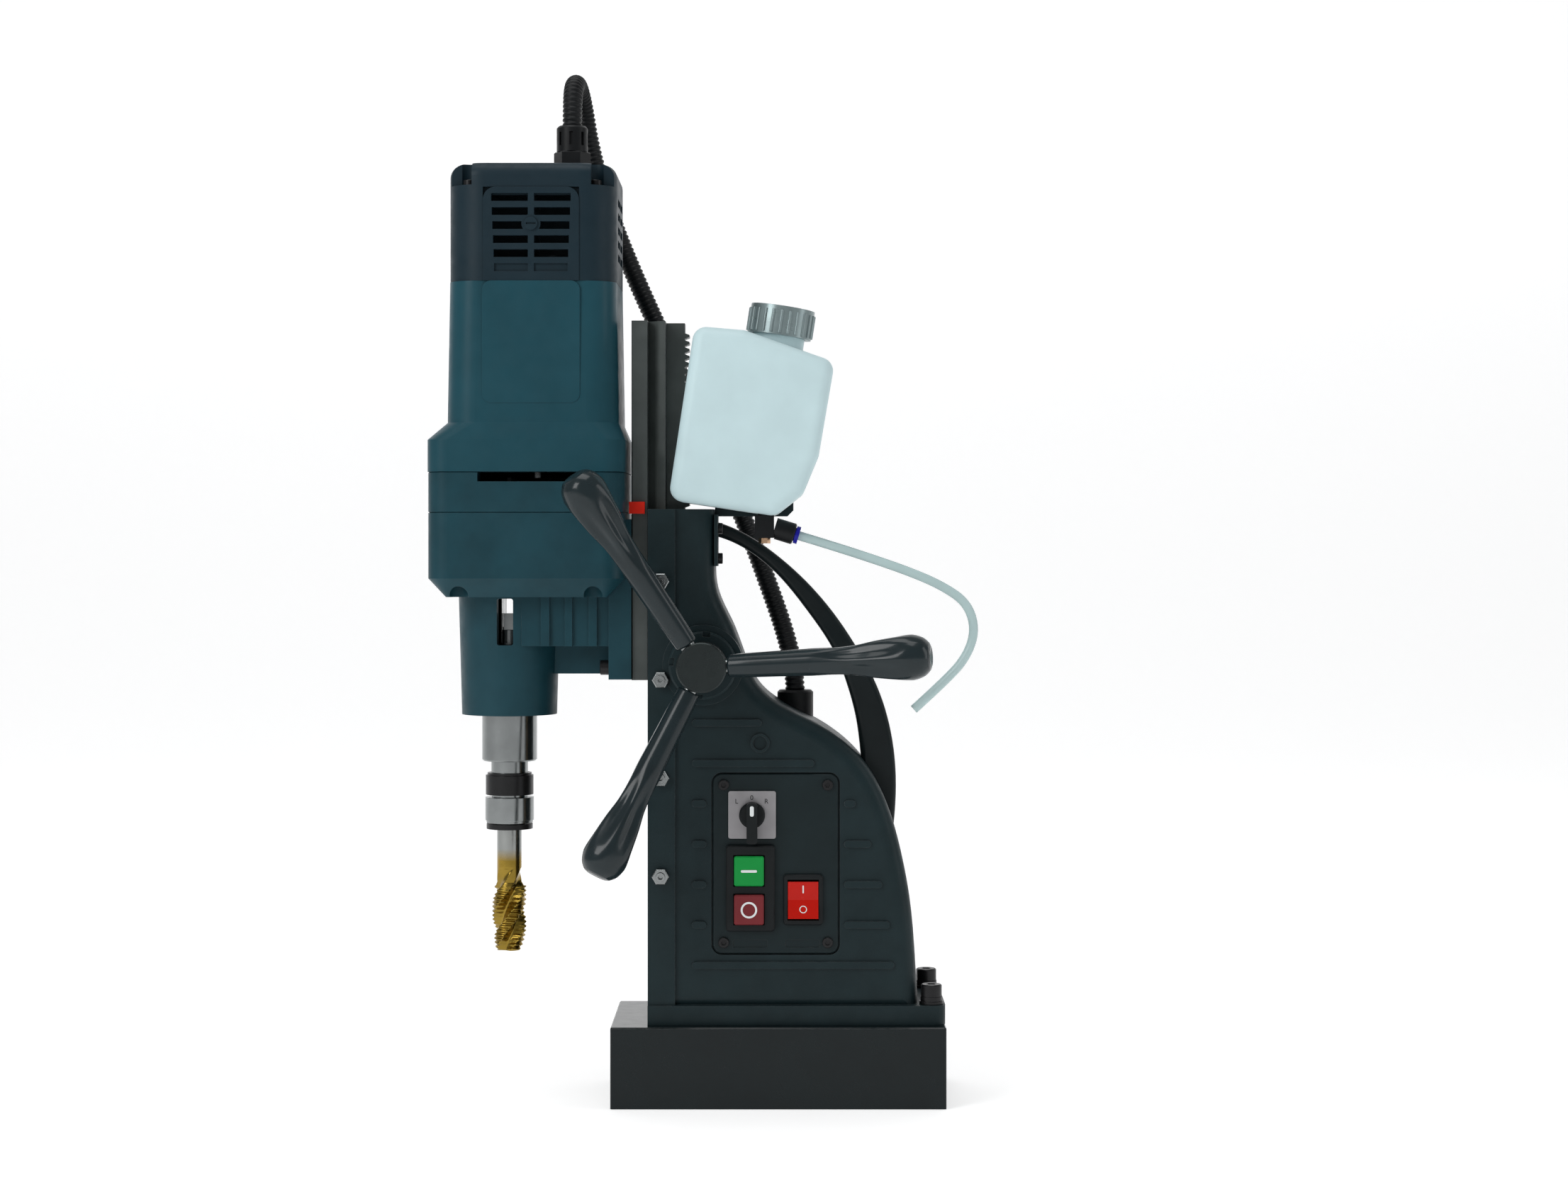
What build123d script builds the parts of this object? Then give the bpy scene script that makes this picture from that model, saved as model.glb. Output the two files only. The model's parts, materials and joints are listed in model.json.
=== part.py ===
# Magnetic drill press: electromagnet base, cast stand, dovetail feed slide, geared drill head,
# spindle with quick-change tapping chuck, coolant tank and control panel.
# Frame: +Z up, origin at the middle of the magnet's working face, -X towards the spindle,
# -Y towards the side with the control panel and the feed levers. Millimetres.
import os
from math import acos, atan2, cos, pi, radians, sin, sqrt, tan

from build123d import *

os.makedirs("parts", exist_ok=True)

# ---------------------------------------------------------------- driving dimensions
BASE_L, BASE_W, BASE_H = 220.0, 110.0, 53.4  # magnet block
FRONT_X = -86.0  # machined front face of the stand
STAND_TOP = 392.6
STAND_HALF = 40.0  # half width of the stand's side walls
PILLAR_HALF = 42.5  # half width of the front pillar
FOOT_TAIL_X, FOOT_HALF, FOOT_TOP = 110.0, 45.0, 66.0
RIB_PITCH = 26.6  # cast ribs on the side walls

PLATE_T = 10.6  # slide plate
PLATE_BACK_X = FRONT_X - 0.6
PLATE_FRONT_X = PLATE_BACK_X - PLATE_T
PLATE_HALF = 32.0
SLIDE_LOW, SLIDE_TOP = 279.5, 517.5
TAIL_NECK, TAIL_WIDE = 21.6, 28.3  # half widths of the dovetail
TAIL_X = -74.9  # back of the dovetail, where the rack starts
GIB_T = 4.0

MODULE = 1.5
PINION_TEETH = 15
PINION_X, PINION_Z = -49.65, 289.9
RACK_PITCH_X = PINION_X - MODULE * PINION_TEETH / 2
RACK_HALF = 8.0
LEVER_ANGLES = (3.2, 123.2, 243.2)
LEVER_RAKE = 12.0  # levers lean out, away from the stand
LEVER_Y, LEVER_LEN = -73.0, 151.0
HUB_R, HUB_FACE_Y, HUB_BACK_Y = 16.3, -85.0, -60.0

SPINDLE_X = -180.8
MOTOR_X = -161.7
HEAD_X = -165.5  # middle of the gearbox outline
HEAD_L, HEAD_W, HEAD_R = 129.0, 120.0, 14.0
TUBE_LOW, FLARE_LOW, CASE_FLOOR = 255.5, 334.7, 347.0
CASE_TOP, COVER_TOP, FLANGE_TOP = 390.0, 417.0, 438.0
MOTOR_FLARE_TOP, MOTOR_TOP, HEAD_TOP = 449.4, 542.0, 620.0
MOTOR_LOW_SIZE, MOTOR_TOP_SIZE, MOTOR_R = 113.0, 110.0, 24.0
NOSE_R, NOSE_LOW = 18.4, 224.0
SLOT_LOW, SLOT_HIGH, SLOT_W = 302.5, 333.4, 10.7  # drift slot

GEAR_ANGLE = 25.0
ARMATURE_TEETH, LAY_GEAR_TEETH, LAY_PINION_TEETH, SPINDLE_TEETH = 12, 28, 14, 40

PANEL_X, PANEL_Z, PANEL_L, PANEL_H, PANEL_R = -1.8, 159.0, 82.5, 118.2, 6.0
PANEL_FACE_Y = -40.2
SELECTOR_X, SELECTOR_Z, SELECTOR_SIZE = -17.3, 191.3, 31.3
BUTTON_X, START_Z, STOP_Z = -19.3, 154.7, 129.4
STATION_X, STATION_Z, STATION_L, STATION_H = -18.4, 143.0, 32.0, 56.6
ROCKER_X, ROCKER_Z = 16.3, 135.4

TANK_TILT, TANK_Y, TANK_W = 8.6, -46.5, 66.0
TANK_ORIGIN = (-71.3, TANK_Y, 398.3)
CAP_A, CAP_LOW, CAP_TOP, CAP_R = 54.8, 117.0, 136.0, 22.0
OUTLET_A, OUTLET_B = 64.0, -9.0

GLAND_X, GLAND_Y = -139.3, 8.0  # conduit gland on the motor's top
BOOT_X, BOOT_Y, BOOT_TOP = 11.4, 24.0, 270.4
CONDUIT_D, HOSE_D = 13.4, 6.0


# ---------------------------------------------------------------- helpers
def save(piece, name):
    """Labels a finished piece and writes its STEP file."""
    piece.part.label = name
    export_step(piece.part, f"parts/{name}.step")


def gear_points(centre, teeth, angle, phase, tip=0.9, root=1.2, thin=0.15):
    """Points round an involute gear of MODULE, with a tooth's middle at phase degrees."""
    cx, cy = centre
    r_pitch = MODULE * teeth / 2
    r_base = r_pitch * cos(radians(angle))
    r_tip, r_root = r_pitch + tip * MODULE, r_pitch - root * MODULE
    inv = tan(radians(angle)) - radians(angle)
    half = (pi * MODULE / 2 - thin) / 2 / r_pitch + inv  # half tooth angle at the base circle

    def flank(r):
        a = acos(min(1.0, r_base / r))
        return half - (tan(a) - a)

    r_start = max(r_base, r_root)
    radii = [r_start + (r_tip - r_start) * k / 4 for k in range(5)]
    points = []
    for n in range(teeth):
        mid = radians(phase) + 2 * pi * n / teeth
        sides = [(r, flank(r)) for r in radii]
        if r_base > r_root:
            sides.insert(0, (r_root, half))
        for r, a in sides:
            points.append((cx + r * cos(mid - a), cy + r * sin(mid - a)))
        for r, a in reversed(sides):
            points.append((cx + r * cos(mid + a), cy + r * sin(mid + a)))
    return points


def hex_socket_screw(shank_r, head_r, head_h, length):
    """Socket head screw at the current place: shank along -Z from the origin, head above it."""
    with BuildPart(mode=Mode.PRIVATE) as screw:
        Cylinder(head_r, head_h, align=(Align.CENTER, Align.CENTER, Align.MIN))
        chamfer(screw.edges().sort_by(Axis.Z)[-1], head_r * 0.1)
        with BuildSketch(Plane.XY.offset(head_h * 0.4)):
            RegularPolygon(head_r * 0.52, 6)
        extrude(amount=head_h, mode=Mode.SUBTRACT)
        Cylinder(shank_r, length, align=(Align.CENTER, Align.CENTER, Align.MAX))
    return screw.part


def copies(shape, locations):
    """Copies of one shape at several locations."""
    return [shape.moved(place) for place in locations]


def save_set(solids, name):
    """Writes several separate solids as a single node."""
    with BuildPart() as made:
        add(solids)
    save(made, name)


def ring(outer, inner, low, high, x, y):
    """Plain ring on a vertical axis, such as a bearing."""
    with BuildPart(mode=Mode.PRIVATE) as made:
        with BuildSketch(Plane.XY.offset(low)):
            with Locations((x, y)):
                Circle(outer)
                Circle(inner, mode=Mode.SUBTRACT)
        extrude(amount=high - low)
    return made.part


SIDE = Plane.XZ  # local x is +X, local y is +Z, normal is -Y

# ---------------------------------------------------------------- magnet
COIL_L, COIL_W, CORE_L, CORE_W, GROOVE_H, POTTING_H = 190.0, 82.0, 120.0, 34.0, 38.0, 4.0
CORE_SCREW_X = (-46.0, 46.0)
REAR_BOLTS = [(101.0, -35.0), (101.0, 35.0)]

with BuildPart() as magnet_base:
    Box(BASE_L, BASE_W, BASE_H, align=(Align.CENTER, Align.CENTER, Align.MIN))
    fillet(magnet_base.edges().filter_by(Axis.Z), 1.5)
    chamfer(magnet_base.faces().sort_by(Axis.Z)[-1].edges(), 0.8)
    with BuildSketch():
        Rectangle(COIL_L, COIL_W)
        Rectangle(CORE_L, CORE_W, mode=Mode.SUBTRACT)
    extrude(amount=GROOVE_H, mode=Mode.SUBTRACT)
    with Locations(*[(x, y, BASE_H) for x, y in REAR_BOLTS]):
        Hole(4.0, 20)
    with Locations(*[Location((x, 0, 0), (180, 0, 0)) for x in CORE_SCREW_X]):
        CounterBoreHole(4.2, 7.2, 9.0)
save(magnet_base, "magnet_base")

with BuildPart() as magnet_coil:
    with BuildSketch(Plane.XY.offset(POTTING_H)):
        RectangleRounded(COIL_L - 1, COIL_W - 1, 6)
        Rectangle(CORE_L + 1, CORE_W + 1, mode=Mode.SUBTRACT)
    extrude(amount=GROOVE_H - POTTING_H - 0.5)
save(magnet_coil, "magnet_coil")

with BuildPart() as coil_potting:
    with BuildSketch():
        Rectangle(COIL_L, COIL_W)
        Rectangle(CORE_L, CORE_W, mode=Mode.SUBTRACT)
    extrude(amount=POTTING_H)
save(coil_potting, "coil_potting")

core_screws = copies(
    hex_socket_screw(4.0, 6.8, 7.9, 50.0),
    [Location((x, 0, 9.0), (180, 0, 0)) for x in CORE_SCREW_X],
)

# ---------------------------------------------------------------- stand casting
TAIL_SLOPE = (TAIL_WIDE - TAIL_NECK) / (TAIL_X - PLATE_BACK_X)
GROOVE_CLEAR = 0.15
GROOVE_X = TAIL_X + 0.3
RACK_SLOT_X = -58.4
BUSH_R, SHAFT_R = 15.0, 9.0
BOSS_R, BOSS_Y = 26.5, -44.0
NUT_X = -77.4
NUT_Z = (345.1, 280.3, 215.6, 150.9)
CAVITY = [(-38, 64), (84, 64), (82, 100), (75, 150), (66, 185), (52, 215), (30, 230), (-10, 244), (-38, 244)]
RIBS = (
    [(-56.8, 76.2, 92.2), (-56.8, 23.6, 92.2 + 5 * RIB_PITCH), (-56.8, -11.0, 92.2 + 6 * RIB_PITCH)]
    + [(-57.0, -47.4, 92.2 + k * RIB_PITCH) for k in (1, 2, 3, 4)]
    + [(43.3, end, 92.2 + k * RIB_PITCH) for k, end in ((1, 73.3), (2, 68.3), (3, 61.1), (4, 50.8))]
)
RIB_H, RIB_RISE = 4.6, 2.0


def outline_line():
    """Side outline of the stand, drawn in the SIDE plane."""
    Polyline((92.4, 60), (FRONT_X, 60), (FRONT_X, STAND_TOP), (-42.5, STAND_TOP), (-42.5, 352))
    Spline(
        (-42.5, 352), (-30.2, 315), (-11.5, 274), (23.4, 252.2), (60.4, 220.3), (82.2, 161.5), (92.4, 60),
        tangents=[(0, -1), (0.05, -1)],
    )


def groove_points(near, far):
    """Dovetail section, with room on the near (-Y) and far (+Y) flanks."""
    mouth = TAIL_NECK + TAIL_SLOPE * (FRONT_X - 1 - PLATE_BACK_X)
    back = TAIL_NECK + TAIL_SLOPE * (GROOVE_X - PLATE_BACK_X)
    return [(FRONT_X - 1, -mouth - near), (GROOVE_X, -back - near), (GROOVE_X, back + far), (FRONT_X - 1, mouth + far)]


with BuildPart() as stand_casting:
    with BuildSketch(SIDE):
        with BuildLine():
            outline_line()
        make_face()
    extrude(amount=STAND_HALF, both=True)
    rear = [e for e in stand_casting.edges() if e.center().X > -43 and e.length > 38 and abs(e.center().Y) > 39]
    fillet(rear, 11)
    # front pillar, foot and the boss round the pinion shaft
    with BuildSketch(Plane.XY.offset(BASE_H)):
        with Locations(((FRONT_X - 68) / 2, 0)):
            Rectangle(-68 - FRONT_X, 2 * PILLAR_HALF)
    extrude(amount=STAND_TOP - BASE_H)
    with BuildSketch(Plane.XY.offset(BASE_H)):
        with Locations(((FRONT_X + FOOT_TAIL_X) / 2, 0)):
            Rectangle(FOOT_TAIL_X - FRONT_X, 2 * FOOT_HALF)
    extrude(amount=FOOT_TOP - BASE_H)
    tail_corners = stand_casting.edges().filter_by(Axis.Z).sort_by(Axis.X)[-2:]
    fillet(tail_corners, 7)
    with BuildSketch(SIDE.offset(-BOSS_Y)):
        with Locations((PINION_X, PINION_Z)):
            Circle(BOSS_R)
    extrude(amount=2 * BOSS_Y)
    # cast ribs and the round pad on both side walls
    for side in (1, -1):
        with BuildSketch(Plane.XZ.offset(side * STAND_HALF)):
            for low, high, z in RIBS:
                with Locations(((low + high) / 2, z)):
                    SlotOverall(high - low, RIB_H)
            with Locations((-12.1, 92.2 + 5.5 * RIB_PITCH)):
                Circle(6.2)
                Circle(4.6, mode=Mode.SUBTRACT)
        extrude(amount=side * RIB_RISE)
    # cavity for the wiring, panel seat and window
    with BuildSketch(SIDE):
        with BuildLine():
            Polyline(*CAVITY, close=True)
        make_face()
    extrude(amount=STAND_HALF - 6, both=True, mode=Mode.SUBTRACT)
    with BuildSketch(SIDE.offset(37)):
        with Locations((PANEL_X, PANEL_Z)):
            RectangleRounded(PANEL_L + 2, PANEL_H + 2, PANEL_R + 1)
    extrude(amount=20, mode=Mode.SUBTRACT)
    with BuildSketch(SIDE.offset(30)):
        with Locations((PANEL_X, PANEL_Z)):
            RectangleRounded(64, 94, 3)
    extrude(amount=20, mode=Mode.SUBTRACT)
    # dovetail way, rack slot and pinion bore
    with BuildSketch(Plane.XY.offset(FOOT_TOP + 2)):
        with BuildLine():
            Polyline(*groove_points(GIB_T + 2 * GROOVE_CLEAR, GROOVE_CLEAR), close=True)
        make_face()
        with Locations(((GROOVE_X - 1 + RACK_SLOT_X) / 2, 0)):
            Rectangle(RACK_SLOT_X - GROOVE_X + 1, 2 * RACK_HALF + 1)
    extrude(amount=STAND_TOP, mode=Mode.SUBTRACT)
    with BuildSketch(SIDE.offset(60)):
        with Locations((PINION_X, PINION_Z)):
            Circle(BUSH_R)
    extrude(amount=-120, mode=Mode.SUBTRACT)
    # threaded holes: gib screws, panel screws, rear bolts, core screws, handle, bracket
    with Locations(*[Location((NUT_X, -PILLAR_HALF, z), (90, 0, 0)) for z in NUT_Z]):
        Hole(3.05, 14)
    with Locations(*[Location((PANEL_X + sx * 34.2, -37, PANEL_Z + sz * 51.9), (90, 0, 0)) for sx in (-1, 1) for sz in (-1, 1)]):
        Hole(1.6, 3)
    with Locations(*[(x, y, FOOT_TOP) for x, y in REAR_BOLTS]):
        Hole(4.2, 14)
    with Locations(*[Location((x, 0, BASE_H), (180, 0, 0)) for x in CORE_SCREW_X]):
        Hole(4.0, 6)
    with Locations(Location((-42.5, 0, 380), (0, 90, 0))):
        Hole(3.0, 12)
    with Locations(Location((86, 0, 200), (0, 90, 0))):
        Hole(3.0, 30)
    with Locations(*[Location((-42.5, -23, z), (0, 90, 0)) for z in (360, 380)]):
        Hole(2.0, 10)
    with Locations(Location((BOOT_X, BOOT_Y, 280))):
        Hole(6.0, 60)
    with Locations(Location((58, STAND_HALF, 105.5), (-90, 0, 0))):
        Hole(8.0, 10)
    with BuildSketch(SIDE.offset(PILLAR_HALF)):
        with Locations(*[(NUT_X, z) for z in NUT_Z]):
            Circle(6.5)
    extrude(amount=10, mode=Mode.SUBTRACT)
save(stand_casting, "stand_casting")

bolt = hex_socket_screw(4.0, 6.9, 8.0, 32.0)
rear_bolts = copies(bolt, [Location((x, y, FOOT_TOP + 5.0)) for x, y in REAR_BOLTS])
with BuildPart() as washer:
    with BuildSketch():
        Circle(8.0)
        Circle(4.2, mode=Mode.SUBTRACT)
    extrude(amount=2.0)
    with BuildSketch(Plane.XY.offset(2.0)):
        Circle(7.2)
        Circle(4.2, mode=Mode.SUBTRACT)
    extrude(amount=3.0)
save_set(copies(washer.part, [Location((x, y, FOOT_TOP)) for x, y in REAR_BOLTS]), "base_washers")

# ---------------------------------------------------------------- gib, gib screws and lock nuts
with BuildPart() as gib_strip:
    with BuildSketch(Plane.XY.offset(FOOT_TOP + 4)):
        with BuildLine():
            low_x, high_x = FRONT_X + 0.4, GROOVE_X - 0.4
            low_y = -TAIL_NECK - TAIL_SLOPE * (low_x - PLATE_BACK_X) - GROOVE_CLEAR
            high_y = -TAIL_NECK - TAIL_SLOPE * (high_x - PLATE_BACK_X) - GROOVE_CLEAR
            Polyline((low_x, low_y), (high_x, high_y), (high_x, high_y - GIB_T), (low_x, low_y - GIB_T), close=True)
        make_face()
    extrude(amount=STAND_TOP - FOOT_TOP - 5)
save(gib_strip, "gib_strip")

with BuildPart() as gib_nut:
    with BuildSketch():
        RegularPolygon(5.0, 6, major_radius=False)
        Circle(3.05, mode=Mode.SUBTRACT)
    extrude(amount=5)
    chamfer(gib_nut.faces().sort_by(Axis.Z)[-1].outer_wire().edges(), 0.5)
with BuildPart() as gib_screw:
    Cylinder(3.0, 16.2, align=(Align.CENTER, Align.CENTER, Align.MIN))
    with BuildSketch(Plane.XY.offset(16.2)):
        RegularPolygon(1.7, 6)
    extrude(amount=-4, mode=Mode.SUBTRACT)
OUT_NEAR = (90, 0, 0)  # turns a piece's +Z to -Y
save_set(
    copies(gib_nut.part, [Location((NUT_X, -PILLAR_HALF, z), OUT_NEAR) for z in NUT_Z])
    + copies(gib_screw.part, [Location((NUT_X, -32.9, z), OUT_NEAR) for z in NUT_Z]),
    "gib_screws",
)

# ---------------------------------------------------------------- feed slide and rack
with BuildPart() as slide_plate:
    with BuildSketch(Plane.XY.offset(SLIDE_LOW)):
        with Locations(((PLATE_FRONT_X + PLATE_BACK_X) / 2, 0)):
            Rectangle(PLATE_T, 2 * PLATE_HALF)
        with BuildLine():
            Polyline(
                (PLATE_BACK_X - 1, -TAIL_NECK), (PLATE_BACK_X, -TAIL_NECK), (TAIL_X, -TAIL_WIDE),
                (TAIL_X, TAIL_WIDE), (PLATE_BACK_X, TAIL_NECK), (PLATE_BACK_X - 1, TAIL_NECK), close=True,
            )
        make_face()
    extrude(amount=SLIDE_TOP - SLIDE_LOW)
    plate_front = slide_plate.faces().sort_by(Axis.X)[0]
    chamfer(plate_front.edges().filter_by(Axis.Z), 0.8)
    RACK_SCREW_Z = (300.0, 400.0, 500.0)
    with Locations(*[Location((PLATE_FRONT_X, 0, z), (0, -90, 0)) for z in RACK_SCREW_Z]):
        CounterBoreHole(2.6, 4.6, 5.2)
    with Locations(*[Location((PLATE_FRONT_X, y, z), (0, -90, 0)) for y in (-27, 27) for z in (287.7, 361.7)]):
        Hole(3.0, 9)
save(slide_plate, "slide_plate")

RACK_ADD, RACK_DED, RACK_ANGLE = 1.25, 1.8, 20.0
with BuildPart() as feed_rack:
    with BuildSketch(SIDE):
        with BuildLine():
            pitch = pi * MODULE
            lean = tan(radians(RACK_ANGLE))
            half = pitch / 4 - 0.05
            root_x, tip_x = RACK_PITCH_X - RACK_DED, RACK_PITCH_X + RACK_ADD
            teeth_low = int((SLIDE_LOW - PINION_Z) / pitch - 0.5) + 1
            teeth_high = int((SLIDE_TOP - PINION_Z) / pitch - 0.5)
            line = [(TAIL_X, SLIDE_LOW), (root_x, SLIDE_LOW)]
            for n in range(teeth_low, teeth_high):
                mid = PINION_Z + (n + 0.5) * pitch
                line += [
                    (root_x, mid - half - RACK_DED * lean), (tip_x, mid - half + RACK_ADD * lean),
                    (tip_x, mid + half - RACK_ADD * lean), (root_x, mid + half + RACK_DED * lean),
                ]
            Polyline(*line, (root_x, SLIDE_TOP), (TAIL_X, SLIDE_TOP), close=True)
        make_face()
    extrude(amount=RACK_HALF, both=True)
    with Locations(*[Location((TAIL_X, 0, z), (0, -90, 0)) for z in RACK_SCREW_Z]):
        Hole(2.5, 7)
save(feed_rack, "feed_rack")
rack_screws = copies(
    hex_socket_screw(2.5, 4.4, 4.8, 23.0), [Location((PLATE_FRONT_X + 5.2, 0, z), (0, -90, 0)) for z in RACK_SCREW_Z]
)

with BuildPart() as red_stop_clip:
    with BuildSketch(Plane.XY.offset(389.6)):
        with Locations((-93.4, -33.6)):
            Rectangle(10.4, 7.2)
        with Locations((PLATE_FRONT_X + 5.6, -30)):
            Rectangle(11.2, 4.01, mode=Mode.SUBTRACT)
    extrude(amount=7.9)
save(red_stop_clip, "red_stop_clip")

# ---------------------------------------------------------------- feed pinion, hub and levers
with BuildPart() as pinion_shaft:
    with BuildSketch(SIDE.offset(-46)):
        with Locations((PINION_X, PINION_Z)):
            Circle(SHAFT_R)
    extrude(amount=46 - HUB_FACE_Y - 5)
    with BuildSketch(SIDE.offset(-8.6)):
        with BuildLine():
            Polyline(*gear_points((PINION_X, PINION_Z), PINION_TEETH, RACK_ANGLE, 180, tip=1.0), close=True)
        make_face()
    extrude(amount=17.2)
save(pinion_shaft, "pinion_shaft")

bushes = []
for low in (10.0, -44.0):
    with BuildPart() as bush:
        with BuildSketch(SIDE.offset(low)):
            with Locations((PINION_X, PINION_Z)):
                Circle(BUSH_R)
                Circle(SHAFT_R + 0.05, mode=Mode.SUBTRACT)
        extrude(amount=34)
    bushes.append(bush.part)
save_set(bushes, "pinion_bushes")

with BuildPart() as bearing_flange:
    with BuildSketch(SIDE.offset(-BOSS_Y)):
        with Locations((PINION_X, PINION_Z)):
            Circle(22.4)
            Circle(SHAFT_R + 0.6, mode=Mode.SUBTRACT)
    extrude(amount=7)
    chamfer(bearing_flange.faces().sort_by(Axis.Y)[0].outer_wire().edges(), 1.2)
    with BuildSketch(SIDE.offset(-BOSS_Y + 3)):
        with Locations((PINION_X, PINION_Z)):
            with PolarLocations(22.4, 4, start_angle=83):
                Rectangle(7, 5)
    extrude(amount=6, mode=Mode.SUBTRACT)
save(bearing_flange, "bearing_flange")


def lever_plane(angle, start):
    """Plane across a lever, start mm out from the shaft's axis; its normal runs out along the lever."""
    a, rake = radians(angle), radians(LEVER_RAKE)
    out = Vector(cos(a) * cos(rake), -sin(rake), sin(a) * cos(rake))
    centre = Vector(PINION_X, LEVER_Y, PINION_Z)
    return Plane(origin=centre + out * start, x_dir=Vector(-sin(a), 0, cos(a)), z_dir=out)


with BuildPart() as lever_hub:
    with BuildSketch(SIDE.offset(-HUB_BACK_Y)):
        with Locations((PINION_X, PINION_Z)):
            Circle(HUB_R)
    extrude(amount=HUB_BACK_Y - HUB_FACE_Y)
    chamfer(lever_hub.faces().sort_by(Axis.Y)[0].edges(), 0.8)
    with BuildSketch(SIDE.offset(-HUB_BACK_Y - 1)):
        with Locations((PINION_X, PINION_Z)):
            Circle(SHAFT_R)
    extrude(amount=HUB_BACK_Y - HUB_FACE_Y - 4, mode=Mode.SUBTRACT)
    for angle in LEVER_ANGLES:
        with BuildSketch(lever_plane(angle, SHAFT_R + 1)):
            Circle(5.0)
        extrude(amount=12, mode=Mode.SUBTRACT)
save(lever_hub, "lever_hub")

GRIP_START = HUB_R + 2.2
GRIP = [(7.4, GRIP_START), (8.3, 51), (9.0, 77), (10.3, 99), (13.3, 115), (15.2, 131), (14.8, 138), (11.6, 147), (6.5, LEVER_LEN)]
ROD_START, ROD_END = SHAFT_R + 1.6, SHAFT_R + 111.6
with BuildPart() as lever_rod:
    with BuildSketch(Plane.XY.offset(ROD_START)):
        Circle(4.95)
    extrude(amount=ROD_END - ROD_START)
with BuildPart() as lever_grip:
    with BuildSketch(Plane.XZ):
        with BuildLine():
            Spline(*GRIP)
            Polyline(GRIP[-1], (0, GRIP[-1][1]), (0, GRIP_START), GRIP[0])
        make_face()
    revolve(axis=Axis.Z)
    with BuildSketch(Plane.XY.offset(GRIP_START - 1)):
        Circle(5.0)
    extrude(amount=ROD_END + 0.5 - GRIP_START + 1, mode=Mode.SUBTRACT)
places = [lever_plane(angle, 0).location for angle in LEVER_ANGLES]
save_set(copies(lever_rod.part, places), "lever_rods")
save_set(copies(lever_grip.part, places), "lever_grips")

# ---------------------------------------------------------------- gearbox
LAY_R1 = MODULE * (ARMATURE_TEETH + LAY_GEAR_TEETH) / 2
LAY_R2 = MODULE * (LAY_PINION_TEETH + SPINDLE_TEETH) / 2
GAP = MOTOR_X - SPINDLE_X
LAY_DX = (GAP**2 + LAY_R2**2 - LAY_R1**2) / 2 / GAP
LAY_X, LAY_Y = SPINDLE_X + LAY_DX, sqrt(LAY_R2**2 - LAY_DX**2)
CORNER_SCREWS = [(HEAD_X + sx * 44.0, sy * 47.0) for sx in (-1, 1) for sy in (-1, 1)]
GEAR_FLOOR = 355.0
BEARING_R = 26.0

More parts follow.
